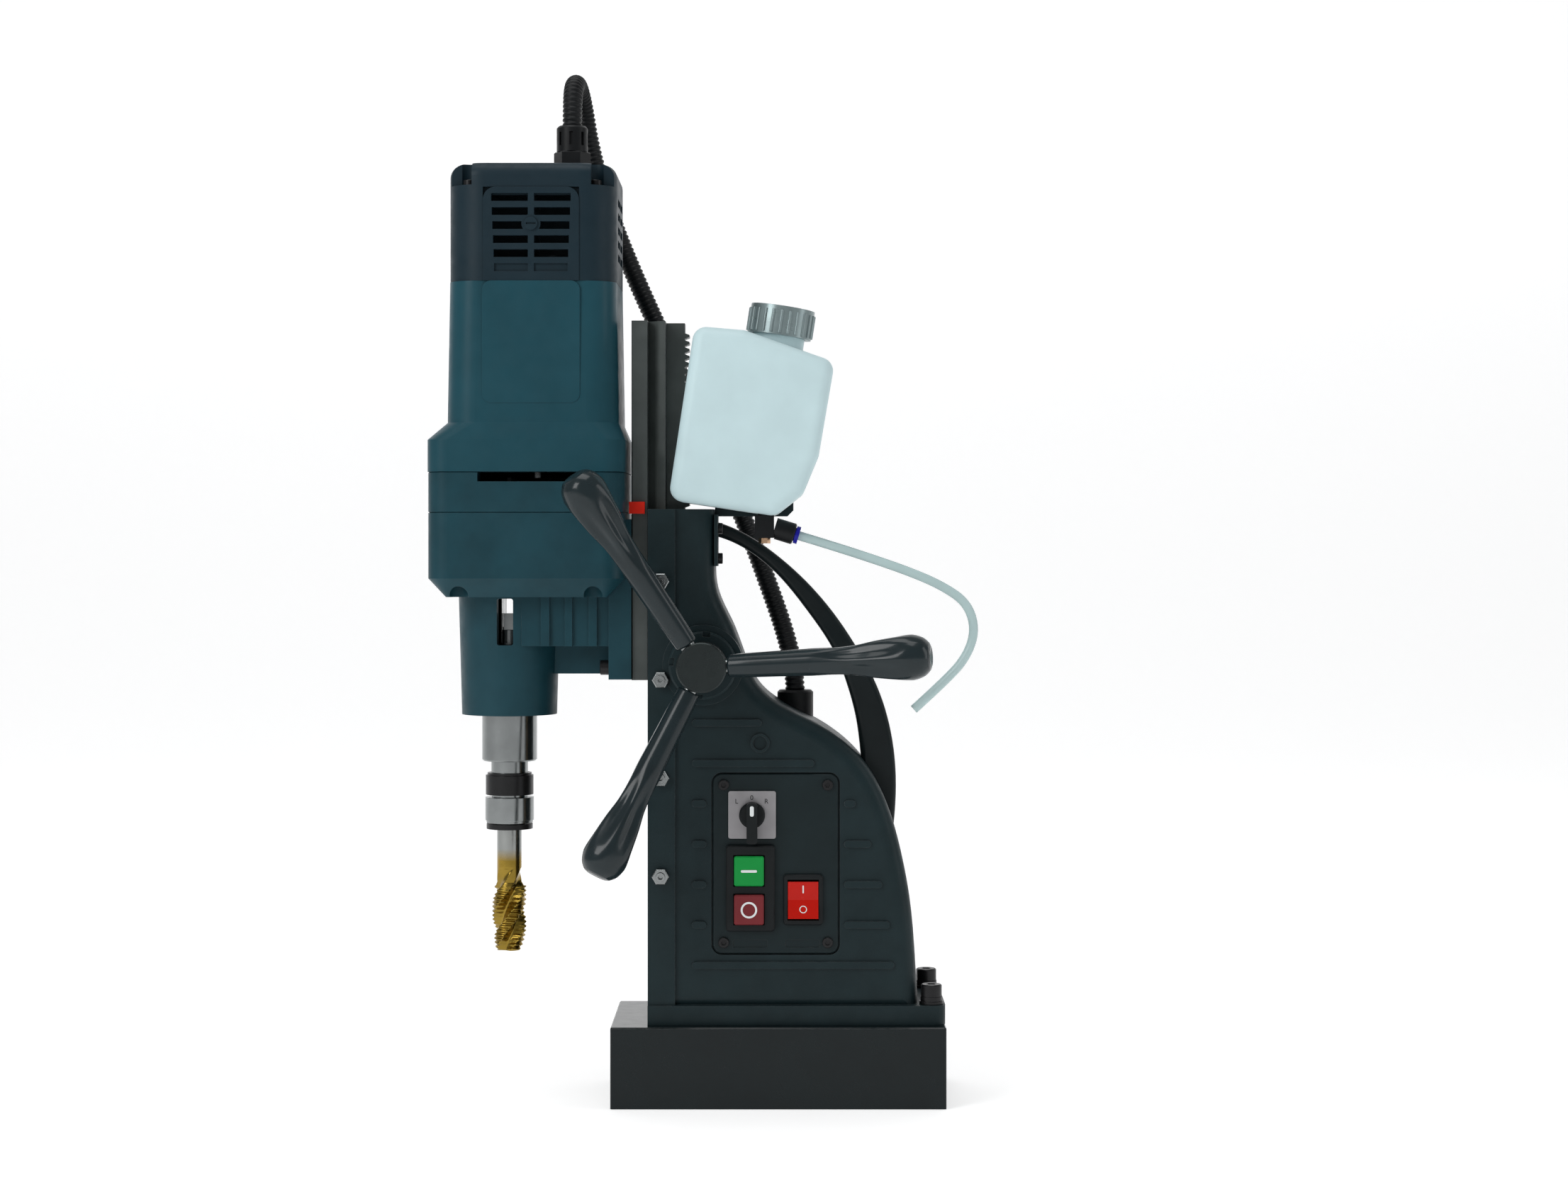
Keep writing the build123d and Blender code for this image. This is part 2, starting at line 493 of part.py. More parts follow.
with BuildPart() as gearbox_casting:
    with BuildSketch(Plane.XY.offset(CASE_FLOOR)):
        with Locations((HEAD_X, 0)):
            RectangleRounded(HEAD_L, HEAD_W - 4, HEAD_R)
    extrude(amount=CASE_TOP - CASE_FLOOR)
    with BuildSketch(Plane.XY.offset(CASE_FLOOR)):
        with Locations((HEAD_X, 0)):
            RectangleRounded(HEAD_L, HEAD_W - 4, HEAD_R)
    extrude(amount=-(CASE_FLOOR - FLARE_LOW), taper=43)
    with BuildSketch(Plane.XY.offset(TUBE_LOW)):
        with Locations((SPINDLE_X, 0)):
            Circle(31.8)
    extrude(amount=FLARE_LOW - TUBE_LOW, taper=-1.6)
    with Locations(((-170 - 112.2) / 2, 0, 302)):
        Box(170 - 112.2, 64, 46, align=(Align.CENTER, Align.CENTER, Align.MIN))
    with Locations(((-160 - 112.2) / 2, 0, 282.8)):
        Box(160 - 112.2, 20, 30, align=(Align.CENTER, Align.CENTER, Align.MIN))
    with Locations(((PLATE_FRONT_X - 112.2) / 2, 0, 280)):
        Box(112.2 + PLATE_FRONT_X, 70, 106, align=(Align.CENTER, Align.CENTER, Align.MIN))
    with Locations(((HEAD_X + HEAD_L / 2 + PLATE_FRONT_X) / 2 - 4, 0, CASE_FLOOR)):
        Box(PLATE_FRONT_X - HEAD_X - HEAD_L / 2 + 8, 70, 39, align=(Align.CENTER, Align.CENTER, Align.MIN))
    for low, high in ((-157.0, -151.3), (-141.2, -136.2), (-125.5, -119.9)):
        with Locations(((low + high) / 2, 0, 302)):
            Box(high - low, 69, 46, align=(Align.CENTER, Align.CENTER, Align.MIN))
    # gear room, leaving a post round each corner screw
    with BuildSketch(Plane.XY.offset(GEAR_FLOOR)):
        with Locations((HEAD_X, 0)):
            RectangleRounded(HEAD_L - 10, HEAD_W - 14, HEAD_R - 5)
        with Locations(*CORNER_SCREWS):
            Circle(8.0, mode=Mode.SUBTRACT)
    extrude(amount=CASE_TOP - GEAR_FLOOR, mode=Mode.SUBTRACT)
    # spindle bore with its two bearing seats
    for low, high, radius in ((TUBE_LOW, 273.5, BEARING_R), (273.5, 338, 21.5), (338, GEAR_FLOOR, BEARING_R)):
        with BuildSketch(Plane.XY.offset(low)):
            with Locations((SPINDLE_X, 0)):
                Circle(radius)
        extrude(amount=high - low, mode=Mode.SUBTRACT)
    with BuildSketch(SIDE.offset(60)):
        with Locations((SPINDLE_X, (SLOT_LOW + SLOT_HIGH) / 2)):
            RectangleRounded(SLOT_W, SLOT_HIGH - SLOT_LOW, 1.5)
    extrude(amount=-120, mode=Mode.SUBTRACT)
    with Locations((LAY_X, LAY_Y, GEAR_FLOOR)):
        Hole(9.5, 6.5)
    # pockets and holes for the corner screws, and for the screws into the slide plate
    with Locations(*[Location((x, y, 352), (180, 0, 0)) for x, y in CORNER_SCREWS]):
        CounterBoreHole(2.7, 6.2, 0.1, 60)
    for x, y in CORNER_SCREWS:
        with BuildSketch(Plane.XY.offset(330)):
            with Locations((x, y)):
                Circle(6.2)
        extrude(amount=22, mode=Mode.SUBTRACT)
        with BuildSketch(Plane.XY.offset(345)):
            with Locations((x, y)):
                Circle(2.7)
        extrude(amount=50, mode=Mode.SUBTRACT)
    with Locations(*[Location((-112.2, y, z), (0, -90, 0)) for y in (-27, 27) for z in (287.7,)]):
        Hole(3.2, 20)
    with Locations(*[Location((-112.2, y, 361.7), (0, -90, 0)) for y in (-27, 27)]):
        Hole(3.2, 20)
save(gearbox_casting, "gearbox_casting")

gearbox_screws = copies(
    hex_socket_screw(2.5, 4.3, 5.0, 52.0), [Location((x, y, 352), (180, 0, 0)) for x, y in CORNER_SCREWS]
)
slide_screws = copies(
    hex_socket_screw(3.0, 5.0, 6.0, 20.0), [Location((-112.2, y, 287.7), (0, -90, 0)) for y in (-27, 27)]
)

FAN_ROOM_R, WEB_TOP = 50.0, 399.0
with BuildPart() as gearbox_cover:
    with BuildSketch(Plane.XY.offset(CASE_TOP)):
        with Locations((HEAD_X, 0)):
            RectangleRounded(HEAD_L, HEAD_W - 4, HEAD_R)
    extrude(amount=COVER_TOP - CASE_TOP)
    chamfer(gearbox_cover.faces().sort_by(Axis.Z)[0].edges(), 0.9)
    chamfer(gearbox_cover.faces().sort_by(Axis.Z)[-1].edges(), 0.7)
    with BuildSketch(Plane.XY.offset(WEB_TOP)):
        with Locations((MOTOR_X, 0)):
            Circle(FAN_ROOM_R)
    extrude(amount=COVER_TOP - WEB_TOP, mode=Mode.SUBTRACT)
    with BuildSketch(SIDE.offset(70)):
        with Locations((MOTOR_X, 413.6)):
            Rectangle(69.5, 6.2)
    extrude(amount=-70, mode=Mode.SUBTRACT)
    with BuildSketch(Plane.XY.offset(CASE_TOP)):
        with Locations((MOTOR_X, 0)):
            Circle(7.0)
    extrude(amount=12, mode=Mode.SUBTRACT)
    with BuildSketch(Plane.XY.offset(392.5)):
        with Locations((MOTOR_X, 0)):
            Circle(11.0)
    extrude(amount=12, mode=Mode.SUBTRACT)
    with BuildSketch(Plane.XY.offset(CASE_TOP)):
        with Locations((LAY_X, LAY_Y)):
            Circle(9.5)
    extrude(amount=6.2, mode=Mode.SUBTRACT)
    with BuildSketch(Plane.XY.offset(CASE_TOP)):
        with Locations(*CORNER_SCREWS):
            Circle(2.5)
    extrude(amount=14.5, mode=Mode.SUBTRACT)
save(gearbox_cover, "gearbox_cover")

# ---------------------------------------------------------------- spindle, gears and bearings
with BuildPart() as spindle:
    for radius, low, high in ((NOSE_R, NOSE_LOW, 254.8), (15.0, 254.8, 353.5), (12.0, 353.5, 369.5)):
        with BuildSketch(Plane.XY.offset(low)):
            with Locations((SPINDLE_X, 0)):
                Circle(radius)
        extrude(amount=high - low)
    chamfer(spindle.edges().sort_by(Axis.Z)[0], 1.0)
    with BuildSketch(Plane.XY.offset(NOSE_LOW)):
        with Locations((SPINDLE_X, 0)):
            Circle(11.9)
    extrude(amount=90, taper=1.49, mode=Mode.SUBTRACT)
    with BuildSketch(SIDE.offset(20)):
        with Locations((SPINDLE_X, 318.3)):
            Rectangle(7.6, 30)
    extrude(amount=-40, mode=Mode.SUBTRACT)
save(spindle, "spindle")

save_set(
    [ring(BEARING_R, 15.05, 257.0, 273.5, SPINDLE_X, 0), ring(BEARING_R, 15.05, 338.0, 353.5, SPINDLE_X, 0)],
    "spindle_bearings",
)
save_set(
    [
        ring(9.5, 4.05, 348.5, 354.5, LAY_X, LAY_Y), ring(9.5, 4.05, 390.2, 396.2, LAY_X, LAY_Y),
        ring(11.0, 4.05, 392.5, 399.0, MOTOR_X, 0), ring(9.5, 4.05, 554.0, 560.5, MOTOR_X, 0),
    ],
    "shaft_bearings",
)

MESH_IN = atan2(LAY_Y, LAY_X - SPINDLE_X) * 180 / pi  # direction from the spindle to the layshaft
MESH_OUT = atan2(-LAY_Y, MOTOR_X - LAY_X) * 180 / pi  # direction from the layshaft to the armature
LAY_PHASE = MESH_IN + 180 + 180 / LAY_PINION_TEETH
ARMATURE_PHASE = MESH_OUT + 180 + 180 / ARMATURE_TEETH

with BuildPart() as spindle_gear:
    with BuildSketch(Plane.XY.offset(356.5)):
        with BuildLine():
            Polyline(*gear_points((SPINDLE_X, 0), SPINDLE_TEETH, GEAR_ANGLE, MESH_IN), close=True)
        make_face()
        with Locations((SPINDLE_X, 0)):
            Circle(12.0, mode=Mode.SUBTRACT)
    extrude(amount=12)
save(spindle_gear, "spindle_gear")

with BuildPart() as layshaft:
    with BuildSketch(Plane.XY.offset(348.5)):
        with Locations((LAY_X, LAY_Y)):
            Circle(4.0)
    extrude(amount=47.5)
    with BuildSketch(Plane.XY.offset(355.5)):
        with BuildLine():
            Polyline(*gear_points((LAY_X, LAY_Y), LAY_PINION_TEETH, GEAR_ANGLE, LAY_PHASE), close=True)
        make_face()
    extrude(amount=19)
    with BuildSketch(Plane.XY.offset(374.5)):
        with BuildLine():
            Polyline(*gear_points((LAY_X, LAY_Y), LAY_GEAR_TEETH, GEAR_ANGLE, MESH_OUT), close=True)
        make_face()
    extrude(amount=12)
save(layshaft, "layshaft")

# ---------------------------------------------------------------- motor
SCREW_X, SCREW_Y = 41.5, 42.0
MOTOR_SCREWS = [(MOTOR_X + sx * SCREW_X, sy * SCREW_Y) for sx in (-1, 1) for sy in (-1, 1)]
with BuildPart() as motor_housing:
    with BuildSketch(Plane.XY.offset(COVER_TOP)):
        with Locations((HEAD_X, 0)):
            RectangleRounded(HEAD_L + 0.8, HEAD_W - 3, HEAD_R)
    extrude(amount=FLANGE_TOP - COVER_TOP)
    with BuildSketch(Plane.XY.offset(FLANGE_TOP)):
        with Locations((HEAD_X, 0)):
            RectangleRounded(HEAD_L + 0.8, HEAD_W - 3, HEAD_R)
    with BuildSketch(Plane.XY.offset(MOTOR_FLARE_TOP)):
        with Locations((MOTOR_X, 0)):
            RectangleRounded(MOTOR_LOW_SIZE, MOTOR_LOW_SIZE - 2, MOTOR_R - 4)
    loft()
    with BuildSketch(Plane.XY.offset(MOTOR_FLARE_TOP)):
        with Locations((MOTOR_X, 0)):
            RectangleRounded(MOTOR_LOW_SIZE, MOTOR_LOW_SIZE - 2, MOTOR_R - 4)
    with BuildSketch(Plane.XY.offset(MOTOR_TOP)):
        with Locations((MOTOR_X, 0)):
            RectangleRounded(MOTOR_TOP_SIZE, MOTOR_TOP_SIZE - 2, MOTOR_R - 4)
    loft()
    for side in (1, -1):
        with BuildSketch(SIDE.offset(side * 50)):
            with Locations((MOTOR_X, 502)):
                RectangleRounded(64, 79.9, 6)
        extrude(amount=side * 5.6)
    with BuildSketch(Plane.XY.offset(COVER_TOP)):
        with Locations((MOTOR_X, 0)):
            Circle(46.0)
    extrude(amount=MOTOR_TOP - COVER_TOP, mode=Mode.SUBTRACT)
    with BuildSketch(Plane.XY.offset(515)):
        with Locations(*MOTOR_SCREWS):
            Circle(2.0)
    extrude(amount=30, mode=Mode.SUBTRACT)
save(motor_housing, "motor_housing")

save_set([ring(45.95, 27.5, 458.0, 512.0, MOTOR_X, 0)], "motor_stator")
with BuildPart() as armature:
    for radius, low, high in (
        (4.0, 391.0, 560.5), (26.6, 460.0, 510.0), (23.0, 452.0, 518.0), (13.0, 524.0, 540.0), (6.0, 399.5, 545.0),
    ):
        with BuildSketch(Plane.XY.offset(low)):
            with Locations((MOTOR_X, 0)):
                Circle(radius)
        extrude(amount=high - low)
save(armature, "armature")

with BuildPart() as armature_pinion:
    with BuildSketch(Plane.XY.offset(371.5)):
        with BuildLine():
            Polyline(*gear_points((MOTOR_X, 0), ARMATURE_TEETH, GEAR_ANGLE, ARMATURE_PHASE), close=True)
        make_face()
    extrude(amount=17)
    with BuildSketch(Plane.XY.offset(388.5)):
        with Locations((MOTOR_X, 0)):
            Circle(4.0)
    extrude(amount=2.5)
save(armature_pinion, "armature_pinion")

with BuildPart() as cooling_fan:
    with BuildSketch(Plane.XY.offset(402)):
        with Locations((MOTOR_X, 0)):
            Circle(42.0)
            Circle(6.0, mode=Mode.SUBTRACT)
    extrude(amount=2.5)
    with BuildSketch(Plane.XY.offset(404.5)):
        with Locations((MOTOR_X, 0)):
            with PolarLocations(30, 9):
                Rectangle(22, 2.4, rotation=25)
    extrude(amount=9)
save(cooling_fan, "cooling_fan")

COVER_W = 109.0
SCREW_SEAT = 605.0
VENT_Z = [550.6 + 9.17 * k for k in range(6)]
GRILLE_L, GRILLE_H, GRILLE_T = 62.9, 61.3, 4.0

with BuildPart() as vent_cover:
    with BuildSketch(Plane.XY.offset(MOTOR_TOP)):
        with Locations((MOTOR_X, 0)):
            RectangleRounded(MOTOR_TOP_SIZE + 0.4, COVER_W, MOTOR_R)
    extrude(amount=HEAD_TOP - MOTOR_TOP)
    fillet(vent_cover.faces().sort_by(Axis.Z)[-1].edges(), 9)
    with BuildSketch(Plane.XY.offset(MOTOR_TOP)):
        with Locations((MOTOR_X, 0)):
            RectangleRounded(MOTOR_TOP_SIZE - 9, COVER_W - 15, MOTOR_R - 6)
        with Locations(*MOTOR_SCREWS):
            Circle(8.5, mode=Mode.SUBTRACT)
    extrude(amount=68, mode=Mode.SUBTRACT)
    with BuildSketch(Plane.XY.offset(554)):
        with Locations((MOTOR_X, 0)):
            Rectangle(MOTOR_TOP_SIZE - 4, 16)
            Circle(15)
            Circle(9.5, mode=Mode.SUBTRACT)
    extrude(amount=9)
    with BuildSketch(Plane.XY.offset(554)):
        with Locations((MOTOR_X, 0)):
            Circle(9.5)
    extrude(amount=6.5, mode=Mode.SUBTRACT)
    for side in (1, -1):
        with BuildSketch(SIDE.offset(side * (COVER_W / 2 - GRILLE_T))):
            with Locations((MOTOR_X, MOTOR_TOP + GRILLE_H / 2)):
                Rectangle(GRILLE_L, GRILLE_H + 0.01)
        extrude(amount=side * 20, mode=Mode.SUBTRACT)
        with BuildSketch(SIDE.offset(side * 40)):
            with Locations((MOTOR_X, MOTOR_TOP + GRILLE_H / 2 + 2)):
                Rectangle(GRILLE_L - 10, GRILLE_H - 14)
        extrude(amount=side * 20, mode=Mode.SUBTRACT)
    with BuildSketch(Plane.YZ.offset(MOTOR_X - 60)):
        for z in VENT_Z[1:]:
            with Locations((-13, z), (13, z)):
                Rectangle(22, 5.1)
    extrude(amount=120, mode=Mode.SUBTRACT)
    with BuildSketch(Plane.XY.offset(554)):
        with Locations((MOTOR_X, 0)):
            Rectangle(MOTOR_TOP_SIZE - 4, 16)
            Circle(15)
            Circle(9.5, mode=Mode.SUBTRACT)
    extrude(amount=9)
    with BuildSketch(Plane.XY.offset(562)):
        with Locations((MOTOR_X, 0)):
            Rectangle(MOTOR_TOP_SIZE - 6, 3)
            Rectangle(3, COVER_W - 16)
    extrude(amount=50)
    for x, y in MOTOR_SCREWS:
        with BuildSketch(Plane.XY.offset(SCREW_SEAT)):
            with Locations((x, y)):
                Circle(5.6)
            with Locations((x + 10 * (1 if x > MOTOR_X else -1), y + 10 * (1 if y > 0 else -1))):
                Rectangle(25, 25)
        extrude(amount=30, mode=Mode.SUBTRACT)
        with BuildSketch(Plane.XY.offset(MOTOR_TOP)):
            with Locations((x, y)):
                Circle(2.0)
        extrude(amount=80, mode=Mode.SUBTRACT)
    with Locations((GLAND_X, GLAND_Y, HEAD_TOP)):
        Hole(5.0, 20)
save(vent_cover, "vent_cover")

motor_screws = copies(hex_socket_screw(2.0, 4.0, 4.0, 85.0), [Location((x, y, SCREW_SEAT)) for x, y in MOTOR_SCREWS])
save_set(rack_screws + gearbox_screws + slide_screws + motor_screws, "head_screws")

grilles = []
for side in (1, -1):
    with BuildPart() as grille:
        with BuildSketch(SIDE.offset(side * (COVER_W / 2 - GRILLE_T))):
            with Locations((MOTOR_X, MOTOR_TOP + GRILLE_H / 2)):
                Rectangle(GRILLE_L, GRILLE_H)
        extrude(amount=side * (GRILLE_T + 0.7))
        top = grille.edges().filter_by(Axis.Y).sort_by(Axis.Z)[-2:]
        fillet(top, 8.5)
        for n, z in enumerate(VENT_Z):
            width = 22 + 0.4 * n
            depth = 1.5 if n == 0 else 9
            with BuildSketch(SIDE.offset(side * (COVER_W / 2 + 0.7))):
                with Locations((MOTOR_X - 2 - width / 2, z), (MOTOR_X + 2 + width / 2, z)):
                    Rectangle(width, 5.1)
            extrude(amount=-side * depth, mode=Mode.SUBTRACT)
        with BuildSketch(SIDE.offset(side * (COVER_W / 2 - GRILLE_T))):
            with Locations((MOTOR_X, 579.2)):
                Circle(6.2)
        extrude(amount=side * (GRILLE_T + 0.7))
        with BuildSketch(SIDE.offset(side * (COVER_W / 2 + 0.7))):
            with Locations((MOTOR_X, 579.2)):
                Circle(4.3)
        extrude(amount=side * 1.4)
        with BuildSketch(SIDE.offset(side * (COVER_W / 2 + 2.1))):
            with Locations((MOTOR_X, 579.2)):
                Rectangle(6.4, 1.2)
        extrude(amount=-side * 1.0, mode=Mode.SUBTRACT)
    grilles.append(grille.part)
save_set(grilles, "vent_grilles")

# ---------------------------------------------------------------- chuck and tap
def turned(steps, bore):
    """Turned piece on the spindle's axis from (radius, low, high) steps, with a (radius, low, high) bore."""
    with BuildPart(mode=Mode.PRIVATE) as made:
        for radius, low, high in steps:
            with BuildSketch(Plane.XY.offset(low)):
                with Locations((SPINDLE_X, 0)):
                    Circle(radius)
            extrude(amount=high - low)
        with BuildSketch(Plane.XY.offset(bore[1])):
            with Locations((SPINDLE_X, 0)):
                Circle(bore[0])
        extrude(amount=bore[2] - bore[1], mode=Mode.SUBTRACT)
    return made.part


with BuildPart() as chuck_arbor:
    with BuildSketch(Plane.XY.offset(NOSE_LOW)):
        with Locations((SPINDLE_X, 0)):
            Circle(11.8)
    extrude(amount=88, taper=1.49)
    with Locations((SPINDLE_X, 0, 310)):
        Box(6.4, 15, 13, align=(Align.CENTER, Align.CENTER, Align.MIN))
    for radius, low, high in ((12.35, 214.5, NOSE_LOW), (12.0, 182.0, 214.5)):
        with BuildSketch(Plane.XY.offset(low)):
            with Locations((SPINDLE_X, 0)):
                Circle(radius)
        extrude(amount=high - low)
    with BuildSketch(Plane.XY.offset(178)):
        with Locations((SPINDLE_X, 0)):
            Circle(8.2)
    extrude(amount=24, mode=Mode.SUBTRACT)
save(chuck_arbor, "chuck_arbor")
chuck_cap = turned([(16.0, 201.4, 214.4), (14.8, 214.4, 216.0)], (12.35, 200, 217))
chuck_ring = turned([(15.5, 178.4, 181.8)], (8.2, 170, 190))
save_set([chuck_cap, chuck_ring], "chuck_collars")
save_set([turned([(15.6, 182.6, 184.2), (16.3, 184.2, 199.6)], (12.1, 180, 203))], "chuck_sleeve")

TAP_TIP, THREAD_TOP, THREAD_PITCH = 96.8, 139.4, 3.0
with BuildPart() as tap:
    with BuildSketch(SIDE):
        with BuildLine():
            line = [(0, TAP_TIP), (8.6, TAP_TIP)]
            count = int((THREAD_TOP - TAP_TIP) / THREAD_PITCH)
            for n in range(count):
                z = TAP_TIP + 0.6 + n * THREAD_PITCH
                crest = min(11.6, 9.4 + 0.55 * n)
                line += [(9.2 if n else 8.8, z), (crest, z + 1.2), (crest, z + 1.6), (9.2, z + 2.8)]
            Polyline(*[(SPINDLE_X + r, z) for r, z in line + [(8.4, 141), (8.2, 155), (8.2, 202), (0, 202)]], close=True)
        make_face()
    revolve(axis=Axis((SPINDLE_X, 0, 0), (0, 0, 1)))
    with BuildSketch(Plane.XY.offset(TAP_TIP)):
        with Locations((SPINDLE_X, 0)):
            with PolarLocations(9.6, 3):
                Circle(3.4)
    extrude(amount=48, mode=Mode.SUBTRACT)
save(tap, "tap")

# ---------------------------------------------------------------- conduit
with BuildPart() as conduit_gland:
    with BuildSketch(Plane.XY.offset(HEAD_TOP)):
        with Locations((GLAND_X, GLAND_Y)):
            RegularPolygon(12.35, 6, rotation=0)
    extrude(amount=14)
    chamfer(conduit_gland.faces().sort_by(Axis.Z)[-1].edges(), 0.8)
    with BuildSketch(Plane.XY.offset(HEAD_TOP + 14)):
        with Locations((GLAND_X, GLAND_Y)):
            Circle(10.5)
    extrude(amount=17.5)
    chamfer(conduit_gland.edges().sort_by(Axis.Z)[-1], 1.5)
    with BuildSketch(Plane.XY.offset(HEAD_TOP + 18)):
        with Locations((GLAND_X, GLAND_Y)):
            with PolarLocations(10.5, 8):
                Rectangle(3, 2.2)
    extrude(amount=9, mode=Mode.SUBTRACT)
    with BuildSketch(Plane.XY.offset(HEAD_TOP)):
        with Locations((GLAND_X, GLAND_Y)):
            Circle(CONDUIT_D / 2 + 0.1)
    extrude(amount=32, mode=Mode.SUBTRACT)
save(conduit_gland, "conduit_gland")

with BuildPart() as conduit_boot:
    with BuildSketch(Plane.XY.offset(240)):
        with Locations((BOOT_X, BOOT_Y)):
            Circle(12.2)
    extrude(amount=BOOT_TOP - 240)
    chamfer(conduit_boot.edges().sort_by(Axis.Z)[-1], 1.5)
    with BuildSketch(Plane.XY.offset(264)):
        with Locations((BOOT_X, BOOT_Y)):
            Circle(CONDUIT_D / 2 + 0.1)
    extrude(amount=20, mode=Mode.SUBTRACT)
    with BuildSketch(Plane.XY.offset(235)):
        with Locations((BOOT_X, BOOT_Y)):
            Circle(5.9)
    extrude(amount=30, mode=Mode.SUBTRACT)
    add(stand_casting.part, mode=Mode.SUBTRACT)
    with BuildSketch(Plane.XY.offset(225)):
        with Locations((BOOT_X, BOOT_Y)):
            Circle(6.0)
    extrude(amount=20, mode=Mode.SUBTRACT)
save(conduit_boot, "conduit_boot")


def cord(points, diameter, name):
    """Writes a round cord of straight runs joined by tangent arcs."""
    spots = [Vector(*p) for p in points]
    runs = [(b - a).length for a, b in zip(spots, spots[1:])]
    best = 1e9
    for n in range(1, len(spots) - 1):
        turn = (spots[n] - spots[n - 1]).get_angle(spots[n + 1] - spots[n])
        if turn > 0.5:
            best = min(best, 0.45 * min(runs[n - 1], runs[n]) / tan(radians(turn / 2)))
    print(name, "length", round(sum(runs), 1), "bend radius", round(best, 1))
    with BuildPart() as made:
        with BuildLine() as path:
            FilletPolyline(*points, radius=min(best, 60))
        print(name, "centreline", round(path.wires()[0].length, 1))
        with BuildSketch(Plane(origin=path.line @ 0, z_dir=path.line % 0)):
            Circle(diameter / 2)
        sweep(transition=Transition.ROUND)
    save(made, name)


CONDUIT_ROUTE = [
    (-139.3, 8, 636), (-139.3, 8, 662), (-139.3, 20, 681), (-138, 42, 686), (-135, 60, 672), (-131, 67, 645),
    (-120, 68, 605), (-103, 64, 562), (-84, 58, 520), (-62, 52, 472), (-42, 47, 428), (-23, 43, 385),
    (-7, 37, 342), (5, 30, 308), (11.4, 24, 280), (11.4, 24, 264),
]
cord(CONDUIT_ROUTE, CONDUIT_D, "conduit")

# ---------------------------------------------------------------- coolant tank
TILT = radians(TANK_TILT)
TANK_PLANE = Plane(origin=TANK_ORIGIN, x_dir=(cos(TILT), 0, -sin(TILT)), z_dir=(0, -1, 0))


def tank_point(a, b, y=TANK_Y):
    """Row position of a place on the tank's side outline."""
    p = TANK_PLANE.from_local_coords(Vector(a, b, 0))
    return (p.X, y, p.Z)


TANK_OUTLINE = [(0, 0), (0, 114), (32.4, 116.1), (93.4, 104.5), (92.2, 42), (86.0, 17), (70, 0)]
TANK_CORNER, TANK_EDGE, TANK_WALL = 9.0, 8.0, 2.2


def tank_body(inset, low, high):
    """Tank-shaped solid, drawn inset mm inside the outline, between two depths."""
    with BuildPart(mode=Mode.PRIVATE) as body:
        with BuildSketch(TANK_PLANE.offset(low)):
            with BuildLine():
                Polyline(*TANK_OUTLINE, close=True)
            make_face()
            offset(amount=-inset, kind=Kind.INTERSECTION)
        extrude(amount=high - low)
        fillet([e for e in body.edges().filter_by(Axis.Y) if e.length > 30], TANK_CORNER - inset)
        fillet(body.faces().filter_by(Axis.Y).sort_by(Axis.Y)[0].edges(), TANK_EDGE - inset)
    return body.part


with BuildPart() as coolant_tank:
    add(tank_body(0, -TANK_W / 2, TANK_W / 2))
    neck_plane = Plane(origin=tank_point(CAP_A, CAP_LOW - 13), x_dir=(0, 1, 0), z_dir=(sin(TILT), 0, cos(TILT)))
    with BuildSketch(neck_plane):
        Circle(17.0)
    extrude(amount=24)
    add(tank_body(TANK_WALL, -TANK_W / 2 + TANK_WALL, TANK_W / 2 - TANK_WALL), mode=Mode.SUBTRACT)
    with BuildSketch(neck_plane.offset(-6)):
        Circle(15.0)
    extrude(amount=40, mode=Mode.SUBTRACT)
save(coolant_tank, "coolant_tank")

with BuildPart() as tank_cap:
    cap_plane = Plane(origin=tank_point(CAP_A, CAP_LOW), x_dir=(0, 1, 0), z_dir=(sin(TILT), 0, cos(TILT)))
    with BuildSketch(cap_plane):
        Circle(CAP_R - 1)
    extrude(amount=CAP_TOP - CAP_LOW)
    with BuildSketch(cap_plane.offset(1.2)):
        Circle(CAP_R - 1)
        with PolarLocations(CAP_R - 1, 24):
            Circle(1.0)
    extrude(amount=CAP_TOP - CAP_LOW - 4)
    with BuildSketch(cap_plane.offset(-1)):
        Circle(17.4)
    extrude(amount=CAP_TOP - CAP_LOW - 1.2, mode=Mode.SUBTRACT)
save(tank_cap, "tank_cap")

with BuildPart() as tank_bracket:
    with BuildSketch(SIDE.offset(12.4)):
        with BuildLine():
            Polyline((-42.4, 388), (6, 388), (10, 392), (10, 436), (-42.4, 440), close=True)
        make_face()
    extrude(amount=-2.4)
    with Locations((-41.2, -23, 372)):
        Box(2.4, 26, 34)
    with Locations((-41.2, -11.2, 390)):
        Box(2.4, 2.4, 12)
    with Locations(*[Location((-42.4, -23, z), (0, -90, 0)) for z in (360, 380)]):
        Hole(2.2, 10)
save(tank_bracket, "tank_bracket")
bracket_screws = copies(
    hex_socket_screw(2.0, 3.6, 3.0, 10.0), [Location((-40.0, -23, z), (0, 90, 0)) for z in (360, 380)]
)

# ---------------------------------------------------------------- tank outlet and hose
HOSE_Y = -48.0
with BuildPart() as tank_elbow:
    with Locations((-9.1, HOSE_Y, 381.0)):
        Box(12.6, 12.6, 14.8)
    with BuildSketch(Plane.XY.offset(386)):
        with Locations((-9.1, HOSE_Y)):
            Circle(4.5)
    extrude(amount=20)
    add(coolant_tank.part, mode=Mode.SUBTRACT)
    add(tank_body(TANK_WALL, -TANK_W / 2 + TANK_WALL, TANK_W / 2 - TANK_WALL), mode=Mode.SUBTRACT)
save(tank_elbow, "tank_elbow")

